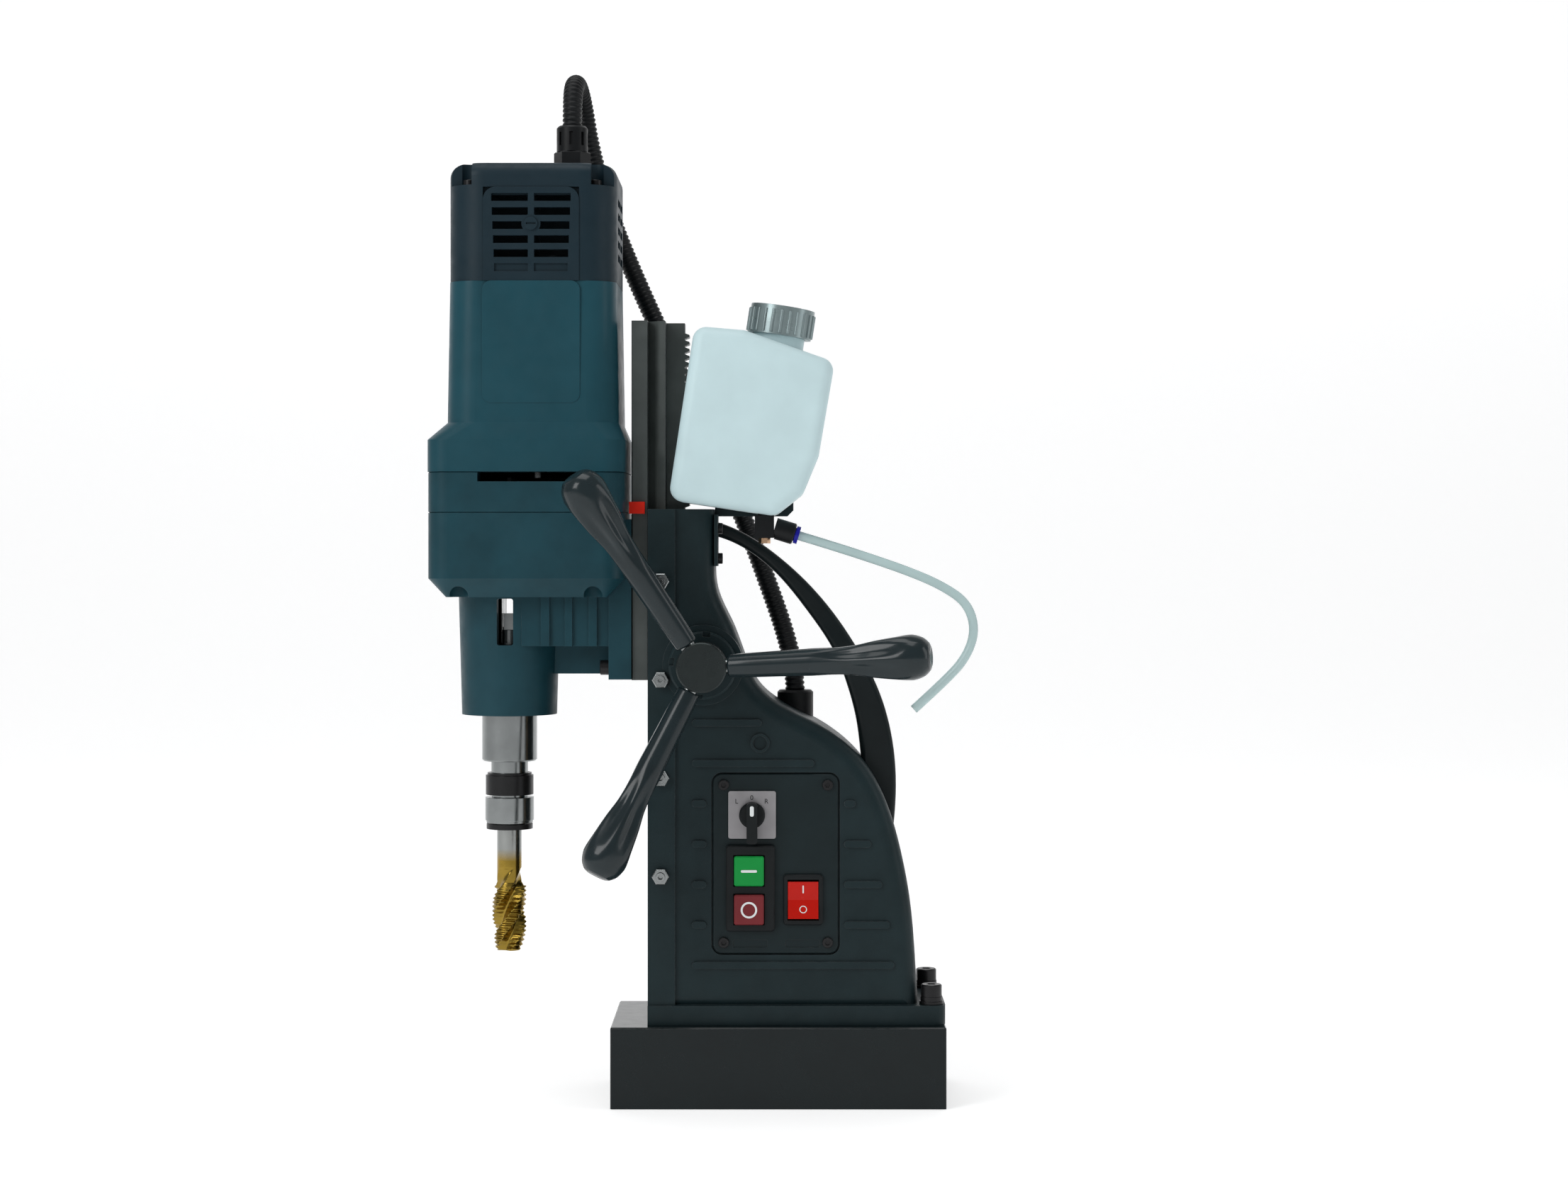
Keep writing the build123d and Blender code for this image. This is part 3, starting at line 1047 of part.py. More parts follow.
with BuildPart() as elbow_plug:
    with BuildSketch(Plane.XY.offset(370.0)):
        with Locations((-9.1, HOSE_Y)):
            RegularPolygon(3.9, 6)
    extrude(amount=3.6)
save(elbow_plug, "elbow_plug")

HOSE_ROUTE = [
    (10, 376.2), (33, 369.2), (60, 360.5), (86, 351.5), (107, 342.5), (124, 331), (129.5, 313), (123, 294.5),
    (108, 278.5), (88.8, 261.1),
]
HOSE_START = Vector(HOSE_ROUTE[0][0], HOSE_Y, HOSE_ROUTE[0][1])
HOSE_DIR = Vector(23, 0, -7.0).normalized()
SLEEVE_PLANE = Plane(origin=HOSE_START - HOSE_DIR * 13, x_dir=(0, 1, 0), z_dir=HOSE_DIR)
with BuildPart() as hose_sleeve:
    with BuildSketch(SLEEVE_PLANE):
        Circle(7.0)
    extrude(amount=13.6)
    chamfer(hose_sleeve.faces().sort_by(Axis.X)[-1].edges(), 0.8)
    with BuildSketch(SLEEVE_PLANE.offset(3)):
        Circle(4.6)
    extrude(amount=20, mode=Mode.SUBTRACT)
    with Locations((-9.1, HOSE_Y, 381.0)):
        Box(12.6, 14.2, 16, mode=Mode.SUBTRACT)
save(hose_sleeve, "hose_sleeve")

with BuildPart() as release_collar:
    with BuildSketch(SLEEVE_PLANE.offset(8)):
        Circle(4.5)
    extrude(amount=6)
    with BuildSketch(SLEEVE_PLANE.offset(14)):
        Circle(5.8)
    extrude(amount=2.6)
    with BuildSketch(SLEEVE_PLANE.offset(7)):
        Circle(HOSE_D / 2 + 0.05)
    extrude(amount=12, mode=Mode.SUBTRACT)
save(release_collar, "release_collar")
cord(
    [tuple(HOSE_START - HOSE_DIR * 8)] + [(x, HOSE_Y, z) for x, z in HOSE_ROUTE[1:]],
    HOSE_D,
    "coolant_hose",
)

# ---------------------------------------------------------------- carry handle
HANDLE_HALF = 10.0
HANDLE_OUTER = [(-42.0, 384.6), (-18.5, 374.3), (0.4, 361), (19.2, 344), (38, 322), (55, 296), (66, 274.5),
                (74, 250), (78.2, 223), (78.6, 200), (77.0, 180)]
HANDLE_INNER = [(58, 200), (54.5, 236), (51.8, 254), (45.8, 276), (38, 296), (19.2, 325), (0.4, 348),
                (-18.5, 364), (-42.0, 374.8)]
with BuildPart() as carry_handle:
    with BuildSketch(SIDE):
        with BuildLine():
            Spline(*HANDLE_OUTER)
            Line(HANDLE_OUTER[-1], (58, 180))
            Line((58, 180), HANDLE_INNER[0])
            Spline(*HANDLE_INNER)
            Line(HANDLE_INNER[-1], HANDLE_OUTER[0])
        make_face()
    extrude(amount=HANDLE_HALF, both=True)
    rims = carry_handle.faces().filter_by(Axis.Y).edges()
    fillet([e for e in rims if e.length > 60], 3.5)
    with Locations((-41.5, 0, 376)):
        Box(2.0, 20, 30)
    add(stand_casting.part, mode=Mode.SUBTRACT)
    with BuildSketch(SIDE):
        with BuildLine():
            Polyline(*CAVITY, close=True)
        make_face()
    extrude(amount=HANDLE_HALF + 5, both=True, mode=Mode.SUBTRACT)
save(carry_handle, "carry_handle")

# ---------------------------------------------------------------- control panel
def panel_plane(y):
    """Plane parallel to the panel at depth y, with its normal towards the user."""
    return SIDE.offset(-y)


with BuildPart() as control_panel:
    with BuildSketch(panel_plane(-37.0)):
        with Locations((PANEL_X, PANEL_Z)):
            RectangleRounded(PANEL_L, PANEL_H, PANEL_R)
    extrude(amount=-37.0 - PANEL_FACE_Y)
    chamfer(control_panel.faces().sort_by(Axis.Y)[0].edges(), 0.6)
    with BuildSketch(panel_plane(-30)):
        with Locations((SELECTOR_X, SELECTOR_Z)):
            Circle(8.0)
        with Locations((STATION_X, STATION_Z)):
            Rectangle(24, 50)
        with Locations((ROCKER_X, ROCKER_Z)):
            Rectangle(22, 28)
    extrude(amount=20, mode=Mode.SUBTRACT)
    with Locations(*[Location((PANEL_X + sx * 34.2, PANEL_FACE_Y, PANEL_Z + sz * 51.9), (90, 0, 0))
                     for sx in (-1, 1) for sz in (-1, 1)]):
        Hole(1.8, 6)
    with BuildSketch(panel_plane(PANEL_FACE_Y)):
        with Locations((-18.5, 106.3), (16.0, 106.3)):
            RectangleRounded(22.6, 5.0, 1)
    extrude(amount=-0.5, mode=Mode.SUBTRACT)
save(control_panel, "control_panel")
PANEL_CORNERS = [(PANEL_X + sx * 34.2, PANEL_Z + sz * 51.9) for sx in (-1, 1) for sz in (-1, 1)]
panel_screws = copies(
    hex_socket_screw(1.6, 3.5, 2.4, 6.0), [Location((x, PANEL_FACE_Y, z), OUT_NEAR) for x, z in PANEL_CORNERS]
)
save_set(core_screws + rear_bolts + bracket_screws + panel_screws, "frame_screws")

with BuildPart() as selector_plate:
    with BuildSketch(panel_plane(PANEL_FACE_Y)):
        with Locations((SELECTOR_X, SELECTOR_Z)):
            RectangleRounded(SELECTOR_SIZE, SELECTOR_SIZE, 1.5)
            Circle(4.0, mode=Mode.SUBTRACT)
    extrude(amount=1.8)
save(selector_plate, "selector_plate")
with BuildPart() as selector_switch:
    with Locations((SELECTOR_X, -25.5, SELECTOR_Z)):
        Box(26, 22.8, 28)
    with BuildSketch(panel_plane(-36.9)):
        with Locations((SELECTOR_X, SELECTOR_Z)):
            Circle(7.9)
            Circle(3.2, mode=Mode.SUBTRACT)
    extrude(amount=3.3)
    with BuildSketch(panel_plane(-25)):
        with Locations((SELECTOR_X, SELECTOR_Z)):
            Circle(3.2)
    extrude(amount=14, mode=Mode.SUBTRACT)
with BuildPart() as selector_knob:
    with BuildSketch(panel_plane(-42.3)):
        with Locations((SELECTOR_X, SELECTOR_Z)):
            Circle(8.5)
    extrude(amount=5.5)
    chamfer(selector_knob.faces().sort_by(Axis.Y)[0].edges(), 1)
    with BuildSketch(panel_plane(-42.3)):
        with Locations((SELECTOR_X, SELECTOR_Z - 4.8)):
            RectangleRounded(7, 26.5, 2)
    extrude(amount=13)
    with BuildSketch(panel_plane(-27)):
        with Locations((SELECTOR_X, SELECTOR_Z)):
            Circle(3.1)
    extrude(amount=18)
save(selector_knob, "selector_knob")

with BuildPart() as button_frame:
    with BuildSketch(panel_plane(PANEL_FACE_Y)):
        with Locations((STATION_X, STATION_Z)):
            RectangleRounded(STATION_L, STATION_H, 2)
    extrude(amount=4.6)
    chamfer(button_frame.faces().sort_by(Axis.Y)[0].edges(), 0.8)
    with BuildSketch(panel_plane(PANEL_FACE_Y)):
        with Locations((BUTTON_X, START_Z), (BUTTON_X, STOP_Z)):
            Rectangle(20.6, 20.6)
    extrude(amount=6, mode=Mode.SUBTRACT)
save(button_frame, "button_frame")
with BuildPart() as contactor:
    with Locations((STATION_X, -24.5, STATION_Z)):
        Box(23.6, 15, 49.6)
save_set([selector_switch.part, contactor.part], "switch_bodies")
for name, z, low, high in (("start_button", START_Z, 36.0, 47.2), ("stop_button", STOP_Z, 36.0, 48.4)):
    with BuildPart() as button:
        with BuildSketch(panel_plane(-low)):
            with Locations((BUTTON_X, z)):
                RectangleRounded(19.6, 19.6, 1.5)
        extrude(amount=high - low)
        chamfer(button.faces().sort_by(Axis.Y)[0].edges(), 0.7)
    save(button, name)

with BuildPart() as rocker_bezel:
    with BuildSketch(panel_plane(PANEL_FACE_Y)):
        with Locations((ROCKER_X, ROCKER_Z)):
            RectangleRounded(26.3, 33.4, 2.5)
    extrude(amount=3.2)
    chamfer(rocker_bezel.faces().sort_by(Axis.Y)[0].edges(), 0.8)
    with BuildSketch(panel_plane(-22)):
        with Locations((ROCKER_X, ROCKER_Z)):
            Rectangle(21.8, 27.8)
    extrude(amount=-PANEL_FACE_Y - 22)
    with BuildSketch(panel_plane(-24)):
        with Locations((ROCKER_X, ROCKER_Z)):
            Rectangle(20.6, 26.8)
    extrude(amount=25, mode=Mode.SUBTRACT)
save(rocker_bezel, "rocker_bezel")
with BuildPart() as rocker_switch:
    with BuildSketch(Plane.YZ.offset(ROCKER_X)):
        with BuildLine():
            Polyline(
                (-32, ROCKER_Z - 9), (-41.4, ROCKER_Z - 12), (-46.6, ROCKER_Z - 12), (-43.2, ROCKER_Z),
                (-43.6, ROCKER_Z + 12), (-40.4, ROCKER_Z + 12), (-32, ROCKER_Z + 9), close=True,
            )
        make_face()
    extrude(amount=10.0, both=True)
save(rocker_switch, "rocker_switch")

with BuildPart() as control_board:
    with Locations((7, 5, 156)):
        Box(82, 2, 102)
    for x, z, size in ((-10, 190, 18), (22, 185, 14), (30, 140, 22), (-8, 130, 16)):
        with Locations((x, 5 - 1 - size / 3, z)):
            Box(size, size / 1.5, size)
    for x, z in ((-20, 110), (40, 110), (-20, 205)):
        with Locations(Location((x, 6, z), (-90, 0, 0))):
            Cylinder(3, 28, align=(Align.CENTER, Align.CENTER, Align.MIN))
save(control_board, "control_board")

with BuildPart() as mains_gland:
    with BuildSketch(panel_plane(STAND_HALF + 14)):
        with Locations((58, 105.5)):
            RegularPolygon(10.5, 6)
    extrude(amount=14)
    with BuildSketch(panel_plane(STAND_HALF)):
        with Locations((58, 105.5)):
            Circle(7.9)
    extrude(amount=7)
    with BuildSketch(panel_plane(STAND_HALF + 20)):
        with Locations((58, 105.5)):
            Circle(8)
    extrude(amount=8)
    with BuildSketch(panel_plane(STAND_HALF + 30)):
        with Locations((58, 105.5)):
            Circle(4.5)
    extrude(amount=60, mode=Mode.SUBTRACT)
save(mains_gland, "mains_gland")
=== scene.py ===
# Magnetic drill press: materials, conduit, coolant hose, marks, grips, tap, stage, light, camera.
import json
import math

import bpy
from mathutils import Matrix, Vector


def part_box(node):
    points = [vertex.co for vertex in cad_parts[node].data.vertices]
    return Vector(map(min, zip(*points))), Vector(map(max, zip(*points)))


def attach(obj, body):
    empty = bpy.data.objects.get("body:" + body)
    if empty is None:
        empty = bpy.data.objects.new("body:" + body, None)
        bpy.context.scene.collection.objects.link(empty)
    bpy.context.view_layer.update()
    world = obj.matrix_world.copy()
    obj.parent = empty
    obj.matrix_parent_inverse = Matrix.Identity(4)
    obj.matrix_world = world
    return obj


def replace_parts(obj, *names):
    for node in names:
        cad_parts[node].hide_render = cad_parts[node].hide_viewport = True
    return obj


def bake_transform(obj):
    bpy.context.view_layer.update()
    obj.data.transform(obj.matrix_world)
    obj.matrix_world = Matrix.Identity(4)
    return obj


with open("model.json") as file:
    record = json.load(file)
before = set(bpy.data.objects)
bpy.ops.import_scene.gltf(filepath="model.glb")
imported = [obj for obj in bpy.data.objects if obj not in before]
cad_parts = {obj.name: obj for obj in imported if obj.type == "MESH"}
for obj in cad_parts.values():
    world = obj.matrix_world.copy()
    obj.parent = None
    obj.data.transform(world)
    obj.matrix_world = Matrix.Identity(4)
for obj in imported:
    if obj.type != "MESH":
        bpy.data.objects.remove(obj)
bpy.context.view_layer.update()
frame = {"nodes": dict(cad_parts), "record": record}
MM = 0.001


# ---------------------------------------------------------------- materials
METAL_SPECULAR, PAINT_SPECULAR = 0.5, 0.17
WORN_METAL = (0.3, 0.31, 0.31)
MOTTLE_MM, ROUGH_PATCH_MM, WEAR_PATCH_MM = 22.0, 9.0, 3.0


def shader(name, colour, rough, metal=0.0, grain=0.0, grain_size=0.8, mottle=0.12, wear=0.0,
           coat=0.0, through=0.0, brushed=0.0, edge=0.35):
    """Procedural material, with a linear colour.

    grain is the bump's height, grain_size its spacing and edge the rounding of corners, in mm.
    mottle is the change of tone over the surface and wear the bare metal on corners. brushed
    stretches the grain along Z.
    """
    material = bpy.data.materials.new(name)
    material.use_nodes = True
    nodes, links = material.node_tree.nodes, material.node_tree.links
    out = nodes["Principled BSDF"]
    out.inputs["Metallic"].default_value = metal
    out.inputs["Specular IOR Level"].default_value = METAL_SPECULAR if metal else PAINT_SPECULAR
    out.inputs["Coat Weight"].default_value = coat
    out.inputs["Coat Roughness"].default_value = 0.12
    out.inputs["Transmission Weight"].default_value = through
    place = nodes.new("ShaderNodeTexCoord")

    def noise(size_mm, detail=3.0, stretch=(1, 1, 1)):
        mapping = nodes.new("ShaderNodeMapping")
        mapping.inputs["Scale"].default_value = stretch
        links.new(place.outputs["Object"], mapping.inputs["Vector"])
        made = nodes.new("ShaderNodeTexNoise")
        made.inputs["Scale"].default_value = 1000.0 / size_mm
        made.inputs["Detail"].default_value = detail
        links.new(mapping.outputs["Vector"], made.inputs["Vector"])
        return made.outputs["Fac"]

    def spread(value, low, high):
        made = nodes.new("ShaderNodeMapRange")
        made.inputs["From Min"].default_value = 0.3
        made.inputs["From Max"].default_value = 0.7
        made.inputs["To Min"].default_value = low
        made.inputs["To Max"].default_value = high
        links.new(value, made.inputs["Value"])
        return made.outputs["Result"]

    def mix(factor, a, b):
        made = nodes.new("ShaderNodeMix")
        made.data_type = "RGBA"
        links.new(factor, made.inputs["Factor"])
        for socket, value in ((made.inputs[6], a), (made.inputs[7], b)):
            if isinstance(value, tuple):
                socket.default_value = (*value, 1.0)
            else:
                links.new(value, socket)
        return made.outputs[2]

    dark = tuple(c * (1 - mottle) for c in colour)
    light = tuple(min(1.0, c * (1 + mottle)) for c in colour)
    tone = mix(spread(noise(MOTTLE_MM), 0.0, 1.0), dark, light)
    patches = spread(noise(ROUGH_PATCH_MM), rough * 0.85, min(1.0, rough * 1.18))
    links.new(patches, out.inputs["Roughness"])
    soft = nodes.new("ShaderNodeBevel")
    soft.samples = 4
    soft.inputs["Radius"].default_value = edge * MM
    if wear:
        plain = nodes.new("ShaderNodeNewGeometry")
        dot = nodes.new("ShaderNodeVectorMath")
        dot.operation = "DOT_PRODUCT"
        links.new(soft.outputs["Normal"], dot.inputs[0])
        links.new(plain.outputs["Normal"], dot.inputs[1])
        rub = nodes.new("ShaderNodeMapRange")
        rub.inputs["From Min"].default_value = 0.985
        rub.inputs["From Max"].default_value = 0.86
        rub.inputs["To Max"].default_value = wear
        links.new(dot.outputs["Value"], rub.inputs["Value"])
        patchy = nodes.new("ShaderNodeMath")
        patchy.operation = "MULTIPLY"
        links.new(rub.outputs["Result"], patchy.inputs[0])
        links.new(spread(noise(WEAR_PATCH_MM), 0.1, 1.0), patchy.inputs[1])
        tone = mix(patchy.outputs["Value"], tone, WORN_METAL)
    links.new(tone, out.inputs["Base Color"])
    if grain:
        bump = nodes.new("ShaderNodeBump")
        bump.inputs["Distance"].default_value = grain * MM
        stretch = (1, 1, brushed) if brushed else (1, 1, 1)
        links.new(noise(grain_size, 4.0, stretch), bump.inputs["Height"])
        links.new(soft.outputs["Normal"], bump.inputs["Normal"])
        links.new(bump.outputs["Normal"], out.inputs["Normal"])
    else:
        links.new(soft.outputs["Normal"], out.inputs["Normal"])
    return material


FINISHES = {
    "magnet_black": shader("magnet_black", (0.003, 0.007, 0.008), 0.18,
                           grain=0.012, grain_size=3, wear=0.7, coat=0.12),
    "casting_charcoal": shader("casting_charcoal", (0.010, 0.021, 0.024), 0.42,
                               grain=0.05, grain_size=1.1, wear=0.3),
    "panel_paint": shader("panel_paint", (0.008, 0.016, 0.018), 0.38,
                          grain=0.03, grain_size=1.0, wear=0.2),
    "housing_teal": shader("housing_teal", (0.012, 0.060, 0.080), 0.36,
                           grain=0.012, grain_size=0.6, mottle=0.06),
    "gearbox_teal": shader("gearbox_teal", (0.010, 0.047, 0.062), 0.40,
                           grain=0.03, grain_size=1.0, wear=0.15),
    "cover_black": shader("cover_black", (0.009, 0.022, 0.031), 0.45,
                          grain=0.02, grain_size=0.5, mottle=0.06),
    "slide_steel": shader("slide_steel", (0.075, 0.086, 0.083), 0.4,
                          0.55, grain=0.01, grain_size=0.8, brushed=0.08),
    "black_oxide": shader("black_oxide", (0.015, 0.015, 0.016), 0.32,
                          0.6, grain=0.006, grain_size=0.7),
    "bright_steel": shader("bright_steel", (0.270, 0.285, 0.285), 0.2,
                           1.0, grain=0.004, grain_size=0.6, brushed=4.0),
    "hub_steel": shader("hub_steel", (0.030, 0.037, 0.037), 0.28, 0.8, grain=0.01, grain_size=0.9),
    "tap_gold": shader("tap_gold", (0.300, 0.200, 0.035), 0.24,
                       1.0, grain=0.01, grain_size=0.7, mottle=0.2),
    "grip_black": shader("grip_black", (0.011, 0.019, 0.022), 0.24,
                         grain=0.006, grain_size=0.5, coat=0.3, edge=0.6),
    "handle_black": shader("handle_black", (0.007, 0.011, 0.012), 0.33, grain=0.02, grain_size=0.8),
    "fitting_black": shader("fitting_black", (0.008, 0.009, 0.010), 0.38,
                            grain=0.01, grain_size=0.5),
    "tank_white": shader("tank_white", (0.560, 0.715, 0.740), 0.36,
                         grain=0.02, grain_size=4, mottle=0.03, edge=1.2),
    "cap_grey": shader("cap_grey", (0.240, 0.300, 0.305), 0.3, 0.6, grain=0.01, grain_size=0.5),
    "hose_clear": shader("hose_clear", (0.55, 0.70, 0.70), 0.18, mottle=0.03, through=0.35),
    "collar_blue": shader("collar_blue", (0.012, 0.012, 0.30), 0.3),
    "plug_brass": shader("plug_brass", (0.75, 0.48, 0.30), 0.2, 1.0, grain=0.004, grain_size=0.6),
    "clip_red": shader("clip_red", (0.72, 0.018, 0.006), 0.35),
    "start_green": shader("start_green", (0.006, 0.270, 0.048), 0.42,
                          grain=0.005, grain_size=0.5, mottle=0.05),
    "stop_red": shader("stop_red", (0.170, 0.022, 0.026), 0.42,
                       grain=0.005, grain_size=0.5, mottle=0.05),
    "rocker_red": shader("rocker_red", (0.480, 0.008, 0.003), 0.25, mottle=0.05),
    "selector_silver": shader("selector_silver", (0.30, 0.29, 0.30), 0.38,
                              0.5, grain=0.004, grain_size=0.7, brushed=5.0),
    "switch_black": shader("switch_black", (0.008, 0.010, 0.011), 0.4, grain=0.008, grain_size=0.4),
    "copper_winding": shader("copper_winding", (0.50, 0.17, 0.06), 0.35,
                             0.8, grain=0.15, grain_size=1.4, brushed=9.0),
    "epoxy": shader("epoxy", (0.012, 0.012, 0.013), 0.3, grain=0.03, grain_size=5),
    "gib_bronze": shader("gib_bronze", (0.42, 0.26, 0.10), 0.35, 1.0, grain=0.006, grain_size=0.7),
    "board_green": shader("board_green", (0.012, 0.12, 0.05), 0.35, grain=0.02, grain_size=1.2),
}


def silver_above(material, height_mm, fade_mm=4.0):
    """Bare steel above a height, where a coating ends."""
    nodes, links = material.node_tree.nodes, material.node_tree.links
    out = nodes["Principled BSDF"]
    place, split = nodes.new("ShaderNodeTexCoord"), nodes.new("ShaderNodeSeparateXYZ")
    links.new(place.outputs["Object"], split.inputs["Vector"])
    rise = nodes.new("ShaderNodeMapRange")
    rise.inputs["From Min"].default_value = (height_mm - fade_mm) * MM
    rise.inputs["From Max"].default_value = (height_mm + fade_mm) * MM
    links.new(split.outputs["Z"], rise.inputs["Value"])
    blend = nodes.new("ShaderNodeMix")
    blend.data_type = "RGBA"
    links.new(rise.outputs["Result"], blend.inputs["Factor"])
    links.new(out.inputs["Base Color"].links[0].from_socket, blend.inputs[6])
    blend.inputs[7].default_value = (0.30, 0.31, 0.30, 1)
    links.new(blend.outputs[2], out.inputs["Base Color"])


silver_above(FINISHES["tap_gold"], 161.0)
SLOT_OF = {part["node"]: part["material_slot"] for part in frame["record"]["subparts"]}
for node, slot_name in SLOT_OF.items():
    node_object = frame["nodes"][node]
    node_object.data.materials.clear()
    node_object.data.materials.append(FINISHES[slot_name])
WHITE_INK = shader("white_ink", (0.75, 0.78, 0.78), 0.5, mottle=0.02)
BLACK_INK = shader("black_ink", (0.02, 0.02, 0.022), 0.5, mottle=0.02)


# ---------------------------------------------------------------- pieces
def finished(piece, material, body):
    """Gives a piece its material, and the body it rides on unless it bends between two."""
    piece.data.materials.clear()
    piece.data.materials.append(material)
    if body:
        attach(piece, body)
    return piece


def mesh_piece(name, vertices, faces, smooth=True):
    """Mesh object from points in metres."""
    mesh = bpy.data.meshes.new(name)
    mesh.from_pydata([tuple(v) for v in vertices], [], faces)
    mesh.validate()
    mesh.polygons.foreach_set("use_smooth", [smooth] * len(mesh.polygons))
    mesh.update()
    piece = bpy.data.objects.new(name, mesh)
    bpy.context.scene.collection.objects.link(piece)
    return piece


def ring_faces(rows, sides):
    """Quads that join each ring of vertices to the next, for rings of the given number of sides."""
    faces = []
    for n in range(rows):
        for m in range(sides):
            p, q = n * sides + m, n * sides + (m + 1) % sides
            faces.append((p, q, q + sides, p + sides))
    return faces


def end_fan(row, sides, centre, flip):
    """Triangles from one ring of vertices to a centre vertex."""
    fan = [(row * sides + m, row * sides + (m + 1) % sides, centre) for m in range(sides)]
    return [tuple(reversed(tri)) for tri in fan] if flip else fan


def route_curve(name, points_mm):
    """NURBS curve with the given points, in mm, as its control points."""
    curve = bpy.data.curves.new(name, "CURVE")
    curve.dimensions = "3D"
    curve.resolution_u = 24
    spline = curve.splines.new("NURBS")
    spline.points.add(len(points_mm) - 1)
    for control, point in zip(spline.points, points_mm):
        control.co = (*[c * MM for c in point], 1.0)
    spline.order_u = 3
    spline.use_endpoint_u = True
    piece = bpy.data.objects.new(name, curve)
    bpy.context.scene.collection.objects.link(piece)
    return piece


def followed(points_mm):
    """Points read along a route's NURBS spline."""
    guide = route_curve("guide", points_mm)
    bpy.context.view_layer.update()
    mesh = bpy.data.meshes.new_from_object(guide)
    spots = [v.co.copy() for v in mesh.vertices]
    bpy.data.objects.remove(guide)
    return spots


def ringed_tube(name, spots, radius_at, step, sides=20):
    """Closed tube along spots; radius_at(distance) gives its radius in metres."""
    lengths = [0.0]
    for a, b in zip(spots, spots[1:]):
        lengths.append(lengths[-1] + (b - a).length)
    total = lengths[-1]
    count = int(total / step)
    vertices, centres = [], []
    side = Vector((1, 0, 0))
    k = 0
    for n in range(count + 1):
        at = total * n / count
        while k < len(spots) - 2 and lengths[k + 1] < at:
            k += 1
        run = spots[k + 1] - spots[k]
        centre = spots[k] + run * ((at - lengths[k]) / max(1e-9, run.length))
        ahead = run.normalized()
        side = (side - ahead * side.dot(ahead)).normalized()
        over = ahead.cross(side)
        radius = radius_at(at)
        centres.append(centre)
        for m in range(sides):
            turn = 2 * math.pi * m / sides
            vertices.append(centre + (side * math.cos(turn) + over * math.sin(turn)) * radius)
    faces = ring_faces(count, sides)
    faces.append(tuple(reversed(range(sides))))
    faces.append(tuple(range(count * sides, (count + 1) * sides)))
    return mesh_piece(name, vertices, faces), centres


# corrugated conduit from the motor's top to the boot on the stand
CONDUIT_ROUTE = [
    (-139.3, 8, 636), (-139.3, 8, 662), (-139.3, 20, 681), (-138, 42, 686), (-135, 60, 672),
    (-131, 67, 645), (-120, 68, 605), (-103, 64, 562), (-84, 58, 520), (-62, 52, 472),
    (-42, 47, 428), (-23, 43, 385),
    (-7, 37, 342), (5, 30, 308), (11.4, 24, 280), (11.4, 24, 264),
]
CONDUIT_R, RING_PITCH, RING_DEPTH = 6.7 * MM, 3.3 * MM, 1.1 * MM


def corrugation(at):
    wave = 0.5 + 0.5 * math.cos(2 * math.pi * at / RING_PITCH)
    return CONDUIT_R - RING_DEPTH * (1 - wave**0.5)


conduit, conduit_line = ringed_tube("conduit_hose", followed(CONDUIT_ROUTE), corrugation,
                                    RING_PITCH / 6)
finished(conduit, FINISHES["fitting_black"], None)
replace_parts(conduit, "conduit")
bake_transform(conduit)

# coolant hose, pushed into the fitting under the tank
HOSE_ROUTE = [
    (2.35, -48, 378.5), (33, -48, 369.2), (60, -48, 360.5), (86, -48, 351.5), (107, -48, 342.5),
    (124, -48, 331), (129.5, -48, 313), (123, -48, 294.5), (108, -48, 278.5), (88.8, -48, 261.1),
]
HOSE_R = 3.0 * MM
hose, hose_line = ringed_tube("coolant_line", followed(HOSE_ROUTE), lambda at: HOSE_R, 3 * MM, 24)
finished(hose, FINISHES["hose_clear"], "frame")
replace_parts(hose, "coolant_hose")


# marks on the switches
# Y of a mark's two faces past the surface it is printed on, in mm
MARK_FRONT, MARK_BACK = -0.12, 0.05
RING_SIDES = 48


def flat_bar(name, centre_mm, size_mm, material, body):
    """Thin printed mark facing -Y, with rounded corners."""
    x, y, z = centre_mm
    w, h = size_mm[0] / 2, size_mm[1] / 2
    r = min(w, h) * 0.9
    points = []
    corners = ((w - r, h - r, 0), (r - w, h - r, 90), (r - w, r - h, 180), (w - r, r - h, 270))
    for cx, cz, start in corners:
        for k in range(7):
            a = math.radians(start + 15 * k)
            points.append((cx + r * math.cos(a), cz + r * math.sin(a)))
    count = len(points)
    vertices = [((x + px) * MM, (y + depth) * MM, (z + pz) * MM)
                for depth in (MARK_FRONT, MARK_BACK) for px, pz in points]
    faces = [tuple(range(count)), tuple(reversed(range(count, 2 * count)))]
    faces += [(k, k + count, (k + 1) % count + count, (k + 1) % count) for k in range(count)]
    return finished(mesh_piece(name, vertices, faces, smooth=False), material, body)


